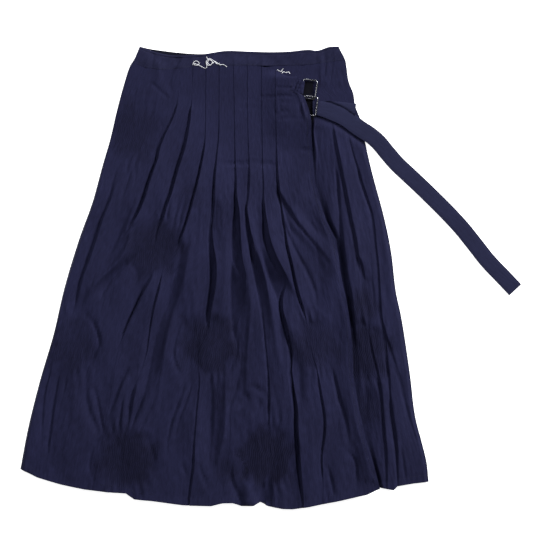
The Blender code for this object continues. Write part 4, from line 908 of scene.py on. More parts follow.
def overRelief(x, y, lean):
    opened = 1 - ease(y, overPanel["openStart"], overPanel["sewnEnd"])
    step = overPanel["sewnStep"] + (overPanel["openStep"] - overPanel["sewnStep"]) * opened
    big = overPanel["puff"] * opened * (1 + noiseSum(x, y, overPanel["puffWaves"]))
    big += overPanel["sewnPuff"] * (1 - opened)
    side = x - leftSide(y)
    big *= 1 - overPanel["lowSide"] * (1 - ease(side, 0, overPanel["lowSideWidth"]))
    shift = np.zeros_like(x)
    for rows in overPanel["pleats"].values():
        rise = readCurve(rows, y, 3)
        gap = np.maximum(readCurve(rows, y, 2), 0)
        behind = x - readCurve(rows, y)
        face = ease(behind, -step / 2, step / 2)
        big += rise * face * np.exp(-np.maximum(behind, 0) / overPanel["trail"])
        # the groove: flat floored, between the fold and the cloth on its left
        foot = -step / 2 - gap
        left = ease(behind, foot - overPanel["grooveRun"], foot + overPanel["grooveLap"])
        big -= overPanel["grooveDepth"] * rise * left * (1 - face) * ease(gap, 0, overPanel["grooveFull"])
        hang = overPanel["overhang"] * ease(rise, *overPanel["hangRise"])
        shift -= hang * face * np.exp(-np.maximum(behind, 0) / overPanel["hangTrail"])
    big += foldSum(x, y, overPanel["folds"]) * overPanel["foldScale"]
    fromEdge = frontEdge(y) - x
    big += (overPanel["frontLift"] * (1 - ease(y, *overPanel["frontLiftBelow"]))
            * np.exp(-fromEdge / overPanel["frontLiftWidth"]))
    left = leftSide(y)
    along = overPanel["fanWidth"] * (x - left) / (frontEdge(y) - left)      # runs with the fan of the pleats
    wrinkles = noiseSum(along, y, overPanel["wrinkles"])
    fine, cover, paintedShade, phase = dotRelief(x, y, lean, dots["over"])
    big = big * (1 - dots["flatten"] * cover) + overPanel["dotPuff"] * cover * opened - dots["sink"] * cover
    relief = big + wrinkles * (overPanel["sewnWrinkles"] + (1 - overPanel["sewnWrinkles"]) * opened)
    for crossY, fromX, toX, depth in overPanel["crossLines"]:
        wave = crossY + 0.8 * np.sin(x / 9.0 + crossY)
        fade = overPanel["crossFade"]
        relief -= (overPanel["crossScale"] * depth * np.exp(-((y - wave) / overPanel["crossWidth"]) ** 2)
                   * ease(x, fromX, fromX + fade) * (1 - ease(x, toX - fade, toX)))
    relief = (relief + np.sqrt(relief**2 + overPanel["softFloor"])) / 2
    soft = overPanel["softCeiling"]
    bent = overPanel["ceiling"] - soft
    relief = np.where(relief > soft, soft + bent * np.tanh((relief - soft) / bent), relief)
    relief += fine
    hold = ease(side, -1.5, 3.5)
    return np.maximum(relief, 0.05) * hold, shift * ease(side, 0, 20) * ease(fromEdge, -1, 6), paintedShade, phase


def overSurface(x, y, lean=0.0):
    relief, shift, paintedShade, phase = overRelief(x, y, lean)
    z = overRest(x, y) + layers["cloth"] + relief
    # turned hem: a slight ridge, drawn in along its sewing
    fromHem = y - hemLine(x)
    inner = ease(x - leftSide(y), 0, 10)
    z += overPanel["hemStands"] * (1 - ease(fromHem, 10, 13)) * inner
    z -= (overPanel["hemDrawn"]
          * np.exp(-((fromHem - overPanel["hemSewn"]) / overPanel["hemStitchWidth"]) ** 2) * inner)
    z += (overPanel["hemRipple"] * np.sin(x * 0.85 + np.sin(x * 0.11) * 2)
          * np.exp(-((fromHem - overPanel["hemRippleAt"]) / overPanel["hemRippleWidth"]) ** 2))
    return x + shift, y, z, paintedShade, phase


def panelColumns(u, weights, crowd):      # which cell a column is in, and its share
    bounds = np.concatenate(([0], np.cumsum(weights) / sum(weights)))
    cell = np.clip(np.searchsorted(bounds, u, side="right") - 1, 0, len(weights) - 1)
    t = np.clip((u - bounds[cell]) / (bounds[cell + 1] - bounds[cell]), 0, 1)
    return cell, t - crowd * np.sin(2 * math.pi * t) / (2 * math.pi)


fan = {
    "topGuess": 350.0, "lowGuess": -360.0, "rounds": 4,      # a column's ends, found in a few rounds
    "leanStep": 4,             # mm up and down over which a column's lean is read
    "grainShift": 37.3,        # mm between the grain of two cells, so that it doesn't repeat
}


def fanShape(u, v, guides, weights, crowd, topEdge, lowEdge, rowPower):
    cell, share = panelColumns(u, weights, crowd)

    def columnX(y):
        lines = np.stack([guide(y) for guide in guides])
        spot = np.arange(len(y))
        return lines[cell, spot] + (lines[cell + 1, spot] - lines[cell, spot]) * share

    top, low = np.full_like(u, fan["topGuess"]), np.full_like(u, fan["lowGuess"])
    for _ in range(fan["rounds"]):
        top, low = topEdge(columnX(top)), lowEdge(columnX(low))
    y = top + (low - top) * v**rowPower
    x = columnX(y)
    lean = (columnX(y + fan["leanStep"]) - columnX(y - fan["leanStep"])) / (2 * fan["leanStep"])
    start = np.stack([guide(y) for guide in guides])[cell, np.arange(len(y))]
    return x, y, lean, x - start + cell * fan["grainShift"]


def overShape(u, v):
    guides = ([leftSide]
              + [lambda y, rows=rows: readCurve(rows, y) for rows in overPanel["pleats"].values()]
              + [frontEdge])
    x, y, lean, grain = fanShape(u, v, guides, overPanel["weights"], overPanel["crowd"],
                                 lambda x: readCurve(outline["panelTop"], x) - overPanel["seamGap"],
                                 hemLine, overPanel["rowPower"])
    lain, y, z, paintedShade, phase = overSurface(x, y, lean)
    return lain, y, z, grain, y, paintedShade, phase


overCloth = clothSheet("overPanelCloth", overPanel["columns"], overPanel["rows"], overShape, navyCotton)
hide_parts("front_over_panel")
print("over panel ready")


# under panel

underPanel = {
    "columns": 170, "rows": 190, "rowPower": 1.08, "seamGap": 0.3,
    "weights": (10, 55, 50, 55), "guideShares": (0.34, 0.67),
    "hiddenEdge": ((370, -60), (0, -90), (-400, -140)),
    "tuck": 4,                 # mm that it goes on in full below the wrap edge
    "puff": 4.4, "abovePuff": 1.5, "aboveY": (316, 334), "aboveX": (76, 92), "belowStrap": (-13, 2),
    "edgeRamp": 6.5,           # mm beside the wrap edge over which it rises, and where that differs
    "rampBelowBelt": (4.5, 185, 235), "rampBelowDot": (8, -150, -90, -290, -245),
    "rampAtHem": (4, -310, -270),
    "sideFall": ((0.55, 0, 8), (0.45, 4, 60)),
    "creaseFloor": 0.15, "foldFloor": 0.3, "dotFlatten": 0.45,
    "softFloor": 0.3, "settle": 0.27, "hemDrawn": 0.4,
    "longWrinkles": ((0.28, 15, 80, 21),), "shortWrinkles": ((0.12, 8, 40, 22),),
    "ringShadowSoft": 2,           # mm over which the painted shade in the rings begins
    # painted shade boxes inside the rings: from x, to x, from y, to y, how much
    "ringShadows": ((50, 72, 309, 333, 2.1), (57, 73, 262, 305, 2.1), (62, 69, 240, 262, 1.8)),
    "creases": (
        ("step", 2.6, 4.2, ((256, 106), (225, 112), (200, 117), (169, 123), (140, 129), (115, 134),
                            (89, 139), (64, 144.5), (38, 148), (10, 150.5))),
        ("soft", 2.6, -2.6, ((191, 110), (157, 113.5), (123, 115), (89, 117), (64, 119))),
        ("step", 5.0, 4.6, ((100, 119), (64, 122), (30, 126), (-4, 131), (-30, 136), (-70, 139),
        (-110, 142))),
        ("step", 2.8, 3.2, ((250, 130.5), (208, 141), (183, 149), (157, 156.5), (132, 165), (110, 172),
                            (84, 176), (55, 178.5), (26, 182), (-13, 184.5), (-64, 188), (-89, 193),
                            (-115, 202), (-140, 210), (-165, 219))),
        ("step", 2.4, 2.2, ((38, 148), (21, 155), (-4, 160))),
        ("step", 2.2, 3.2, ((-90, 166), (-120, 172), (-140, 177), (-171, 184), (-195, 188), (-225, 190.5),
                            (-259, 193), (-293, 196), (-352, 197))),
        ("step", 2.6, 3.4, ((-90, 194), (-140, 198), (-174, 201.5), (-200, 203), (-229, 206.5), (-259, 211),
                            (-285, 214), (-310, 215), (-353, 216))),
        ("soft", 5.0, -3.0, ((-205, 201), (-235, 203), (-262, 207), (-285, 210))),
        ("soft", 2.6, -1.8, ((-200, 225), (-234, 233), (-259, 241), (-284, 249))),
        ("soft", 6.0, -3.0, ((-150, 158), (-183, 161), (-208, 160), (-234, 157))),
        ("soft", 4.0, -1.6, ((-165, 219), (-185, 222), (-215, 229))),
        ("soft", 3.0, -1.6, ((-290, 220), (-315, 224), (-345, 229))),
        ("soft", 2.4, -1.2, ((40, 168), (0, 171), (-60, 176))),
        ("soft", 5.0, -1.6, ((75, 183), (20, 188), (-40, 196))),
        ("soft", 8.0, 1.8, ((140, 100), (90, 106), (60, 111))),
        ("soft", 3.0, 0.9, ((366, 84), (345, 84), (325, 85))),
        ("soft", 3.0, -1.0, ((350, 121), (332, 124), (314, 126))),
        ("soft", 2.4, -0.8, ((362, 60), (345, 58), (332, 56))),
    ),
    "folds": {
        "rampOne": (
            (274.6, 79.9, 2, 16, 0), (250.8, 74.8, 2, 34, 3.4), (216.8, 79.9, 2, 20, 3.6),
            (191.2, 79.1, 2, 20, 3.4), (165.8, 79.1, 2, 20, 3.4), (140.2, 81.6, 2, 16, 3),
            (114.8, 86.7, 2, 10, 2), (94.4, 91.8, 2, 8, 0)),
        "innerOne": (
            (191.2, 107.1, 2, 2, 0), (174.2, 110.5, 2.2, 2.2, 1.6), (148.8, 112.2, 2.4, 2.4, 2.2),
            (128.4, 113.9, 2.2, 2.2, 1.2), (111.4, 114.7, 2.2, 2.2, 0)),
        "rampEdge": (
            (233.8, 132.6, 2, 5, 0), (213.4, 138.6, 2, 8, 2), (191.2, 145.3, 2, 16, 3),
            (165.8, 150.4, 2, 18, 3.2), (140.2, 158.9, 2, 14, 2.6), (114.8, 168.3, 2, 9, 1.6),
            (89.2, 171.7, 2, 6, 0)),
        "dimTwo": (
            (38.2, 146.2, 2.4, 4, 0), (21.2, 149.6, 2.6, 8, 2), (4.2, 153, 2.6, 12, 2.6),
            (-21.2, 154.7, 2.6, 14, 2.4), (-46.8, 158.1, 2.6, 12, 1.8), (-72.2, 159.8, 2.6, 10, 0)),
        "rampMid": (
            (-97.8, 190.4, 2, 6, 0), (-123.2, 192.1, 2, 12, 2.2), (-148.8, 195.5, 2, 13, 2.6),
            (-170.9, 200.6, 2, 10, 2), (-199.8, 204, 2, 8, 1.6), (-225.2, 207.4, 2, 8, 0)),
        "dimLow": (
            (-182.8, 153, 3, 14, 0), (-208.2, 154.7, 3, 22, 3.4), (-250.8, 154.7, 3, 24, 3.6),
            (-276.2, 161.5, 3, 22, 3.4), (-301.8, 164.9, 3, 16, 2.6), (-327.2, 171.7, 3, 10, 0)),
        "arcOut": (
            (-148.8, 205.7, 2, 3, 0), (-174.2, 217.6, 2, 4, 1.2), (-199.8, 222.7, 2, 5, 1.6),
            (-228.6, 229.5, 2, 5, 1.8), (-250.8, 232.9, 2, 4, 1.2), (-276.2, 236.3, 2, 4, 0)),
        "rampLast": (
            (-242.2, 205.7, 2, 6, 0), (-276.2, 209.9, 2, 12, 2), (-301.8, 212.5, 2, 16, 2.6),
            (-340.9, 214.2, 2, 22, 2.8), (-364.6, 214.2, 2, 22, 2)),
        "topOne": (
            (366.4, 76.5, 5, 1.6, 0), (356.1, 75.7, 5, 1.6, 1.2), (339.1, 76.5, 5, 1.6, 1.4),
            (329, 78.2, 5, 1.6, 0)),
        "topTwo": (
            (369.8, 95.2, 4, 1.5, 0), (359.6, 92.7, 4, 1.6, 1.3), (345.9, 91.8, 4, 1.6, 1.2),
            (335.8, 91.8, 4, 1.5, 0)),
        "topThree": (
            (373.1, 107.1, 4, 1.5, 0), (359.6, 104.6, 4, 1.6, 1.2), (342.6, 102.8, 4, 1.6, 1.2),
            (329, 102, 4, 1.5, 0)),
        "topFour": (
            (335.8, 113.9, 5, 1.5, 0), (322.1, 115.6, 6, 1.6, 1), (305.1, 122.4, 6, 1.6, 1),
            (291.6, 130.9, 5, 1.5, 0)),
    },
}


def edgeRamp(y):
    wider, low, high = underPanel["rampBelowBelt"]
    ramp = underPanel["edgeRamp"] + wider * (1 - ease(y, low, high))
    wider, low, high, end, start = underPanel["rampBelowDot"]
    ramp = ramp + wider * (1 - ease(y, low, high)) * ease(y, end, start)
    narrower, low, high = underPanel["rampAtHem"]
    return ramp - narrower * (1 - ease(y, low, high))


def underRelief(x, y, lean):
    edge = frontEdge(y)
    shown = ease((x - edge - 0.5) / edgeRamp(y), 0, 1)
    fromSide = rightSide(y) - x
    side = sum(share * ease(fromSide, low, high) for share, low, high in underPanel["sideFall"])
    below = 1 - ease(y - readLine(outline["strapLow"], x), *underPanel["belowStrap"])
    above = ease(y, *underPanel["aboveY"]) * ease(x, *underPanel["aboveX"])
    big = underPanel["puff"] * below + underPanel["abovePuff"] * above
    big += creaseSum(x, y, underPanel["creases"]) * np.clip(below + above + underPanel["creaseFloor"], 0, 1)
    big += foldSum(x, y, underPanel["folds"]) * np.clip(below + above + underPanel["foldFloor"], 0, 1)
    fine, cover, paintedShade, phase = dotRelief(x, y, lean, dots["under"])
    big = big * (1 - underPanel["dotFlatten"] * cover) - dots["sink"] * cover
    wrinkles = (noiseSum(x, y, underPanel["longWrinkles"]) * below
                + noiseSum(x, y, underPanel["shortWrinkles"]) * (below + above))
    whole = big + wrinkles
    relief = (whole + np.sqrt(whole**2 + underPanel["softFloor"])) / 2 - underPanel["settle"]
    soft = underPanel["ringShadowSoft"]
    # painted shade: the cloth seen inside the rings is marked for darkening, standing in for the shadow there
    for fromX, toX, fromY, toY, ringShadeStrength in underPanel["ringShadows"]:
        box = ease(x, fromX - soft, fromX + soft) * (1 - ease(x, toX - soft, toX + soft))
        upright = ease(y, fromY - soft, fromY + soft)
        paintedShade = np.maximum(paintedShade, ringShadeStrength * box * upright * (1 - ease(y, toY - soft, toY + soft)))
    return (np.maximum(relief, 0) + fine * below) * shown * side, paintedShade, phase


def underSurface(x, y, lean=0.0):
    relief, paintedShade, phase = underRelief(x, y, lean)
    fromHem = y - underHemLine(x)
    z = layers["underRest"] + layers["cloth"] + relief
    fromStitch = (fromHem - overPanel["hemSewn"]) / overPanel["hemStitchWidth"]
    z -= underPanel["hemDrawn"] * np.exp(-fromStitch ** 2)
    return x, y, z, paintedShade, phase


def underShape(u, v):
    def across(share):
        def line(y):
            left = frontEdge(y)
            return left + share * (rightSide(y) - left)
        return line

    guides = [lambda y: readLine(underPanel["hiddenEdge"], y), lambda y: frontEdge(y) - underPanel["tuck"],
              *(across(share) for share in underPanel["guideShares"]), rightSide]
    x, y, lean, grain = fanShape(u, v, guides, underPanel["weights"], 0.0,
                                 lambda x: bandSeam(x) - underPanel["seamGap"],
                                 underHemLine, underPanel["rowPower"])
    x, y, z, paintedShade, phase = underSurface(x, y, lean)
    return x, y, z, grain, y, paintedShade, phase


underCloth = clothSheet("underPanelCloth", underPanel["columns"], underPanel["rows"], underShape, navyCotton)
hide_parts("front_under_panel")
print("under panel ready")


# back panel

backPanel = {"columns": 90, "rows": 90, "seamY": 352, "inset": 1.5, "hemRise": 4, "height": 1.1}


def backShape(u, v):
    wholeHem = outline["hem"] + outline["underHem"][2:]
    guides = [lambda y: leftSide(y) + backPanel["inset"],
              lambda y: rightSide(y) - backPanel["inset"]]
    x, y, _, grain = fanShape(u, v, guides, (1,), 0.0,
                                 lambda x: np.full_like(x, backPanel["seamY"]),
                                 lambda x: readLine(wholeHem, x) + backPanel["hemRise"], 1.0)
    return x, y, np.full_like(x, backPanel["height"]), grain, y


backCloth = clothSheet("backPanelCloth", backPanel["columns"], backPanel["rows"], backShape, navyShaded, 1.0)
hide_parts("back_panel")
print("back panel ready")


# waistbands

bands = {
    "columns": 260, "rows": 30, "backColumns": 120, "backRows": 10,
    "frontRim": 1.6, "backRim": 1.1, "backInset": 0.4, "backLap": 0.3,
    "topstitch": 4.6, "stitchDrawn": 0.6, "stitchWidth": 0.9,      # mm below the upper edge, depth, width
    "backHeight": 1.15, "frontHeight": 3.3, "overSeam": 0.15, "lowest": 1.6,
    "seamLap": 1, "overEnds": (-18, 12),      # between these x it passes from the over panel to the under one
    "climb": (2, 24), "climbFrom": 0.3,
    "edgeRound": 0.9, "edgeRoundWidth": 1.6, "dentFade": (1, 5),
    "waves": ((0.3, 44, 40, 31), (0.16, 17, 20, 32)), "stitchWave": ((0.3, 30, 90, 33),), "stitchEven": 0.7,
    "dents": (
        ((384, -156, 8, 4, 0.6), (374, -156, 8, 4, 3.0), (366, -159, 8, 4, 3.2), (350, -164, 8, 4, 2.4)),
        ((395, -208, 5, 5, -0.8), (350, -210, 5, 5, -0.5)),
        ((395, -198, 5, 3, 0.8), (372, -200, 5, 3, 0.9), (350, -203, 4, 3, 0.3)),
        ((395, -124, 7, 3, 0.6), (350, -120, 7, 3, 0.5)),
        ((390, 77, 2.5, 3, 0.3), (376, 77, 2.5, 3, 0.6), (350, 76, 2.5, 3, 0.6)),
        ((390, 92, 3, 3, 0.3), (376, 91, 3, 3, 0.6), (350, 91, 3, 3, 0.7)),
        ((390, 103, 3, 3, 0.2), (376, 102, 3, 3, 0.5), (350, 101, 3, 3, 0.6)),
    ),
}


def bandSurface(x, y):      # height of the front band, which follows the pleats' steps at its seam
    fromTop = bandTop(x) - y
    seamY = bandSeam(x) - bands["seamLap"]
    overShare = 1 - ease(x, *bands["overEnds"])
    seamZ = bands["overSeam"] + underSurface(x, seamY)[2] * (1 - overShare)
    seamZ += overSurface(np.minimum(x, bands["overEnds"][1]), seamY)[2] * overShare
    flat = bands["frontHeight"]
    z = flat + (np.maximum(seamZ, flat - bands["climbFrom"]) - flat) * ease(fromTop, *bands["climb"])
    z += noiseSum(x, y, bands["waves"])
    z -= (bands["stitchDrawn"] * np.exp(-((fromTop - bands["topstitch"]) / bands["stitchWidth"]) ** 2)
          * (bands["stitchEven"] + noiseSum(x, y, bands["stitchWave"])))
    z -= bands["edgeRound"] * (1 - ease(fromTop, 0, bands["edgeRoundWidth"]))
    for rows in bands["dents"]:      # rows as in a fold: one dent on the left, and soft lumps
        z += foldSum(x, y, {"dent": rows}) * ease(fromTop, *bands["dentFade"])
    return np.maximum(z, bands["lowest"])


def frontBandShape(u, v):
    guides = [leftSide, rightSide]
    x, y, _, grain = fanShape(u, v, guides, (1,), 0.0,
                                 bandTop,
                                 bandSeam, 1.0)
    return x, y, bandSurface(x, y), grain, y


def backBandShape(u, v):
    guides = [lambda y: leftSide(y) + bands["backInset"], lambda y: rightSide(y) - bands["backInset"]]
    x, y, _, grain = fanShape(u, v, guides, (1,), 0.0,
                                 lambda x: readCurve(outline["waistTop"], x),
                                 lambda x: np.full_like(x, backPanel["seamY"] + bands["backLap"]), 1.0)
    return x, y, np.full_like(x, bands["backHeight"]), grain, y


frontBand = clothSheet("frontBandCloth", bands["columns"], bands["rows"], frontBandShape, bandCotton,
                       bands["frontRim"])
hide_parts("front_waistband")
backBand = clothSheet("backBandCloth", bands["backColumns"], bands["backRows"], backBandShape, navyShaded,
                      bands["backRim"])
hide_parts("back_waistband")
print("waistbands ready")


# belt strap, rings and tabs

belt = {
    "strapWidth": 28.0, "ringWidth": 24.0, "thick": 1.3, "rootZ": 3.7, "tailZ": 5.4,
    "turnX": 72.0, "turnY": 288.0, "rootStands": 3.4,
    "turnGap": 1.5, "turnSkip": 0.15, "rootSteps": 16, "turnSteps": 9, "tailSteps": 150,
    "acrossSteps": 14, "edgeThin": 0.85, "edgePower": 9, "widens": (76.5, 104.5),
    "stitchPlace": 0.41, "stitchWidth": 0.03, "stitchDrawn": 0.22,      # shares of the width, then mm
    "sewnPlace": 0.43, "sewnReach": 0.02,
    "waveHeight": 0.25, "waveBelow": 0.9,      # mm; only the part that lies on the table has waves
    "standEase": (-0.5, 2.5), "sharpAngle": 50, "weld": 0.00002,
    "root": ((143, 281), (117, 284), (92, 286.5), (72, 288)),
    "tail": ((72, 288, 5.4), (82, 287, 5.4), (100, 282.5, 5.6), (126, 271, 6.0), (151, 253, 6.2),
             (170, 240.5, 5.6), (183, 229, 4.2), (196.5, 213, 2.6), (214, 193, 1.3),
             (230.5, 177.5, 0.75), (268, 142, 0.7), (321, 87.5, 0.7), (345, 58, 0.7),
             (367, 30, 0.7), (393, 2.5, 0.7), (415.3, -21, 0.7)),
}


def strapPath():
    root = [Vector((x, readCurve(belt["root"], np.array(float(x))), belt["rootZ"]))
            for x in np.linspace(belt["root"][0][0], belt["turnX"] + belt["turnGap"], belt["rootSteps"])]
    radius = (belt["tailZ"] - belt["rootZ"]) / 2
    turn = [Vector((belt["turnX"] - radius * math.sin(a), belt["turnY"],
                    belt["rootZ"] + radius * (1 - math.cos(a))))
            for a in np.linspace(belt["turnSkip"], math.pi - belt["turnSkip"], belt["turnSteps"])]
    line = [(row[0], row[1]) for row in belt["tail"]]
    lift = [(row[0], row[2]) for row in belt["tail"]]
    tail = [Vector((x, readCurve(line, x), readCurve(lift, x)))
            for x in np.linspace(belt["turnX"] + belt["turnGap"], line[-1][0], belt["tailSteps"])]
    return root, turn, tail


def tailEdge(x):      # the tail's upper edge, where it crosses the layer below
    return float(readCurve([(row[0], row[1]) for row in belt["tail"]], x)) + belt["strapWidth"] / 2


def buildStrap():
    root, turn, tail = strapPath()
    points = root + turn + tail
    flatStart, flatEnd = len(root) - 1, len(root) + len(turn)
    over = [(w, 0.5 * (1 - belt["edgeThin"] * abs(2 * w) ** belt["edgePower"]))
            for w in (-0.5 + k / belt["acrossSteps"] for k in range(belt["acrossSteps"] + 1))]
    profile = over + [(w, -h) for w, h in reversed(over)]      # closed: over the top and back underneath
    deselectAll()
    bpy.ops.mesh.primitive_grid_add(x_subdivisions=len(profile), y_subdivisions=len(points) - 1, size=1)
    strap = bpy.context.object
    strap.name = "beltStrapCloth"
    mesh = strap.data
    grid = readPoints(mesh)
    ringIndex = np.rint((grid[:, 0] + 0.5) * len(profile)).astype(int) % len(profile)
    alongIndex = np.rint((grid[:, 1] + 0.5) * (len(points) - 1)).astype(int)
    total = 0.0
    placed = []
    lengths = []
    sewn = ([], [])
    for i, point in enumerate(points):
        before, after = points[max(i - 1, 0)], points[min(i + 1, len(points) - 1)]
        if i:
            total += (point - points[i - 1]).length
        lengths.append(total)
        along = (after - before).normalized()
        if flatStart <= i <= flatEnd:
            side = Vector((0, 1, 0))
        else:
            side = Vector((-along.y, along.x, 0)).normalized() * (1 if i > flatEnd else -1)
        through = side.cross(along).normalized()
        widened = float(ease(point.x, *belt["widens"]))
        width = belt["ringWidth"] + (belt["strapWidth"] - belt["ringWidth"]) * widened
        row = []
        for w, h in profile:
            wave = stitchDip = 0
            if point.z < belt["waveBelow"]:
                wave = belt["waveHeight"] * math.sin(total * 0.21 + w * 3) * math.sin(total * 0.05)
            if i > flatEnd:
                beside = (abs(w) - belt["stitchPlace"]) / belt["stitchWidth"]
                stitchDip = belt["stitchDrawn"] * math.exp(-beside ** 2)
            height = h * belt["thick"] - math.copysign(stitchDip, h)
            if i < flatStart:      # the layer below stands up beyond the tail's edge
                beyond = point.y + w * width - tailEdge(point.x)
                height += belt["rootStands"] * float(ease(beyond, *belt["standEase"]))
            spot = point + side * (w * width) + through * height
            if i > flatEnd and h > 0 and abs(abs(w) - belt["sewnPlace"]) < belt["sewnReach"]:
                sewn[w > 0].append(tuple(spot))
            row.append(spot + Vector((0, 0, abs(wave))))
        placed.append(row)
    layPoints(mesh, np.array([placed[a][r] for a, r in zip(alongIndex, ringIndex)]),
              np.array([w for w, h in profile])[ringIndex] * belt["strapWidth"],
              np.array(lengths)[alongIndex])
    mesh.update()
    bpy.ops.object.mode_set(mode="EDIT")
    bpy.ops.mesh.select_all(action="SELECT")
    bpy.ops.mesh.remove_doubles(threshold=belt["weld"])
    bpy.ops.mesh.select_all(action="DESELECT")
    bpy.ops.mesh.select_non_manifold()
    bpy.ops.mesh.edge_face_add()
    bpy.ops.object.mode_set(mode="OBJECT")
    faceOutwards()
    bpy.ops.object.shade_smooth_by_angle(angle=math.radians(belt["sharpAngle"]))
    mesh.materials.append(beltCotton)
    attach(strap, "root")
    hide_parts("belt_strap")
    return sewn


strapSewn = buildStrap()
print("strap ready")


rings = {
    "wire": 2.4, "width": 26.0, "height": 34.0, "corner": 3.6, "cornerSteps": 8,
    # middle x, y, z, turn in degrees, the tab's place along its bar
    "upper": (65.2, 319.6, 5.5, -8.0, 1.4),
    "lower": (66.0, 291.2, 8.2, -7.0, -1.4),
    "tabWidth": 22.0, "tabLength": 23.0, "tabCloth": 1.0, "tabGap": 0.3, "tabWall": 0.8,
    "tabColumns": 28, "bendSteps": 19, "topSteps": 24, "topFrom": 0.05,
    "tabFolds": ((7.5, 0.9),
                 (12.5, 0.7)), "tabFoldWidth": 1.0, "tabFoldSlant": 0.25,      # from the bar, depth
}


def sweepWire(name, lines, radius, closed, sides, material):      # a round wire along each line of points, mm
    deselectAll()
    bpy.ops.curve.primitive_bezier_circle_add(radius=0.01, location=(0, 0, 0))
    curve = bpy.context.object
    curve.data.splines.clear()
    for line in lines:
        spline = curve.data.splines.new("POLY")
        spline.points.add(len(line) - 1)
        for point, place in zip(spline.points, line):
            point.co = (*(value * mm for value in place), 1)
        spline.use_cyclic_u = closed
    curve.data.bevel_depth = radius * mm
    curve.data.bevel_resolution = sides
    curve.data.use_fill_caps = not closed
    bpy.ops.object.convert(target="MESH")
    wire = bpy.context.object
    wire.name = name
    bpy.ops.object.shade_smooth()
    wire.data.materials.clear()
    wire.data.materials.append(material)
    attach(wire, "root")
    return wire


def buildRing(which):      # a rectangle with round corners
    x, y, z, turn, _ = rings[which]
    halfX = (rings["width"] - rings["wire"]) / 2 - rings["corner"]
    halfY = (rings["height"] - rings["wire"]) / 2 - rings["corner"]
    turned = math.radians(turn)
    line = []
    for quarter, (cx, cy) in enumerate(((halfX, halfY), (-halfX, halfY), (-halfX, -halfY), (halfX, -halfY))):
        for k in range(rings["cornerSteps"] + 1):
            a = (quarter + k / rings["cornerSteps"]) * math.pi / 2
            px, py = cx + rings["corner"] * math.cos(a), cy + rings["corner"] * math.sin(a)
            line.append((x + px * math.cos(turned) - py * math.sin(turned),
                         y + px * math.sin(turned) + py * math.cos(turned), z))
    ring = sweepWire(f"beltRingWire_{which}", [line], rings["wire"] / 2, True, 6, platedSteel)
    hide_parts(f"belt_ring_{which}")


def buildTab(which):
    x, y, z, turn, along = rings[which]
    barX = -(rings["width"] - rings["wire"]) / 2
    radius = rings["wire"] / 2 + rings["tabGap"] + rings["tabCloth"] / 2
    line = [(barX - rings["tabLength"], -radius)]
    line += [(barX + radius * math.cos(a), radius * math.sin(a))
             for a in np.linspace(-math.pi / 2, math.pi / 2, rings["bendSteps"])]
    line += [(barX - rings["tabLength"] * share, radius)
             for share in np.linspace(rings["topFrom"], 1, rings["topSteps"])]
    deselectAll()
    bpy.ops.mesh.primitive_grid_add(x_subdivisions=len(line) - 1, y_subdivisions=rings["tabColumns"], size=1)
    tab = bpy.context.object
    tab.name = f"ringTabCloth_{which}"
    mesh = tab.data
    grid = readPoints(mesh)
    index = np.rint((grid[:, 0] + 0.5) * (len(line) - 1)).astype(int)
    path = np.array(line)[index]
    px, pz = path[:, 0], path[:, 1]
    py = along + grid[:, 1] * rings["tabWidth"]
    lift = 0.12 * np.sin(py * 0.9) + 0.1 * np.sin(px * 0.8 + py * 0.3)
    for place, depth in rings["tabFolds"]:      # pulled into slanting folds
        fromFold = px - barX + place - rings["tabFoldSlant"] * py
        lift -= depth * np.exp(-(fromFold / rings["tabFoldWidth"]) ** 2)
    lift *= np.where(pz > 0, 1.0, 0.0)
    a = math.radians(turn)
    wx = x + px * math.cos(a) - py * math.sin(a)
    wy = y + px * math.sin(a) + py * math.cos(a)
    layPoints(mesh, np.stack((wx, wy, z + pz + lift), 1), index * 1.0, py)
    bpy.ops.object.shade_smooth()
    wall = tab.modifiers.new("cloth", "SOLIDIFY")
    wall.thickness = rings["tabCloth"] * rings["tabWall"] * mm
    wall.offset = 0
    bpy.ops.object.modifier_apply(modifier="cloth")
    faceOutwards()
    mesh.materials.append(navyCotton)
    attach(tab, "root")
    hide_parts(f"ring_tab_{which}")


for which in ("upper", "lower"):
    buildRing(which)
    buildTab(which)
print("rings and tabs ready")


# sewing

sewing = {
    "pitch": 3.2, "length": 2.5, "radius": 0.27,      # mm; eight stitches to the inch
    "edgeInset": 6.0,          # mm from the wrap edge to its row of stitches
    "seamInset": 1.8,          # and from the waist seam
    "beadSides": 8, "beadRings": 5,
    "hemX": (-418, 182, 900), "underHemX": (196, 264, 100), "edgeY": (330, -350, 900),      # from, to, steps
    "bandX": (-217, 111, 400), "seamX": (-226, 118, 400),
    "threadRadius": 0.33, "threadWave": 0.35, "threadWaveTurn": 1.9, "threadSteps": 7,
    # tacking thread left in at the waist seam: each strand's x, y
    "strands": (
        ((-132.8, 361), (-130.6, 365.8), (-126, 367.4), (-122, 364), (-124, 360.4), (-129, 360.6),
         (-131, 363.6), (-126, 362), (-120, 359), (-115.6, 356.6), (-110.8, 354.8), (-108.6, 359),
         (-108.4, 366)),
        ((-109.6, 374.4), (-106.4, 370.4), (-102, 369.4), (-99.6, 364.6), (-103.6, 360), (-109.2, 361.6),
         (-109.4, 367), (-104.6, 371.4), (-99, 369), (-95, 366.4), (-91.8, 362.6), (-87, 363.4)),
        ((-103.4, 360), (-107.4, 364.4), (-105, 369), (-100.2, 367.6), (-98.6, 363.6), (-95.4, 366.6),
         (-91, 364), (-86.4, 361), (-80.6, 361.2), (-74.6, 357.4)),
        ((10, 352.4), (14, 350.6), (17.2, 349.6), (19.4, 352.8), (20.6, 355)),
        ((18.6, 346.4), (21.4, 349), (25, 347.6), (29.4, 348.6), (32.6, 345.4)),
    ),
}


def highestCloth(x, y):      # the cloth that is on top at a place
    band = np.where(y > bandSeam(x), bandSurface(x, y), 0)
    over = np.where(x < frontEdge(y), overSurface(x, y)[2], 0)
    return np.maximum(np.maximum(band, over), underSurface(x, y)[2])


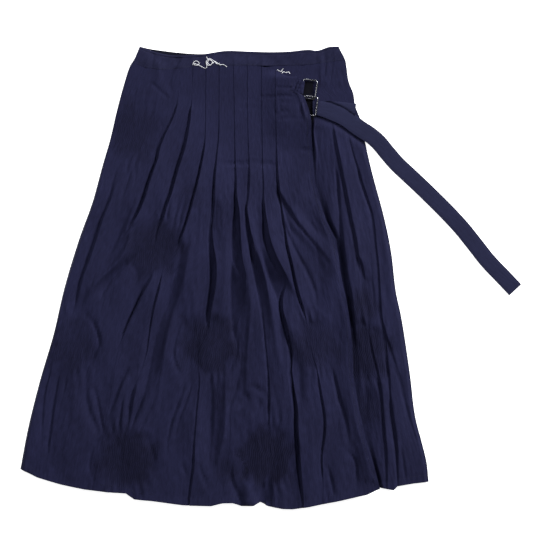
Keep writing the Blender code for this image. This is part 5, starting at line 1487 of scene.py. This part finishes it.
def sewStitches(name, lines):      # every stitch is a small bead of few faces, half sunk in the cloth
    deselectAll()
    bpy.ops.mesh.primitive_uv_sphere_add(segments=sewing["beadSides"], ring_count=sewing["beadRings"],
                                         radius=1)
    row = bpy.context.object
    row.name = name
    bead = np.array([vertex.co[:] for vertex in row.data.vertices])
    faces = [list(face.vertices) for face in row.data.polygons]
    spots, corners = [], []
    for line in lines:
        path = np.array(line, float)
        reach = np.concatenate(([0], np.cumsum(np.linalg.norm(np.diff(path, axis=0), axis=1))))
        for start in np.arange(0, reach[-1] - sewing["length"], sewing["pitch"]):
            a, b = (np.array([np.interp(at, reach, path[:, k]) for k in range(3)])
                    for at in (start, start + sewing["length"]))
            along = (b - a) / np.linalg.norm(b - a)
            aside = np.cross(along, (0, 0, 1))
            aside /= np.linalg.norm(aside)
            up = np.cross(aside, along)
            shaped = (bead[:, 2:3] * along * sewing["length"] / 2
                      + (bead[:, 0:1] * aside + bead[:, 1:2] * up) * sewing["radius"])
            corners += [[index + len(spots) * len(bead) for index in face] for face in faces]
            spots.append(shaped + (a + b) / 2)
    row.data.clear_geometry()
    row.data.from_pydata((np.concatenate(spots) * mm).tolist(), [], corners)
    row.data.update()
    bpy.ops.object.shade_smooth()
    row.data.materials.append(navyThread)
    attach(row, "root")


def overLine(x, y):
    lain, y, z, _, _ = overSurface(x, y)
    return np.stack((lain, y, z), 1)


hemX = np.linspace(*sewing["hemX"])
underHemX = np.linspace(*sewing["underHemX"])
edgeY = np.linspace(*sewing["edgeY"])
bandX = np.linspace(*sewing["bandX"])
underHemY = underHemLine(underHemX) + overPanel["hemSewn"]
topY = bandTop(bandX) - bands["topstitch"]
seamX = np.linspace(*sewing["seamX"])
seamY = bandSeam(seamX) + sewing["seamInset"]
sewStitches("panelStitches", [
    overLine(hemX, hemLine(hemX) + overPanel["hemSewn"]),
    overLine(frontEdge(edgeY) - sewing["edgeInset"], edgeY),
    np.stack((underHemX, underHemY, underSurface(underHemX, underHemY)[2]), 1)])
sewStitches("bandStitches", [
    np.stack((bandX, topY, bandSurface(bandX, topY)), 1),
    np.stack((seamX, seamY, bandSurface(seamX, seamY)), 1)])
sewStitches("strapStitches", strapSewn)

strands = []
for strand in sewing["strands"]:
    steps = np.linspace(0, len(strand) - 1, len(strand) * sewing["threadSteps"])
    alongX = readCurve([(k, spot[0]) for k, spot in enumerate(strand)], steps)
    alongY = readCurve([(k, spot[1]) for k, spot in enumerate(strand)], steps)
    lift = sewing["threadRadius"] + sewing["threadWave"] * (1 + np.sin(steps * sewing["threadWaveTurn"]))
    strands.append(np.stack((alongX, alongY, highestCloth(alongX, alongY) + lift), 1).tolist())
tacking = sweepWire("tackingThreads", strands, sewing["threadRadius"], False, 2, whiteThread)
print("sewing ready")
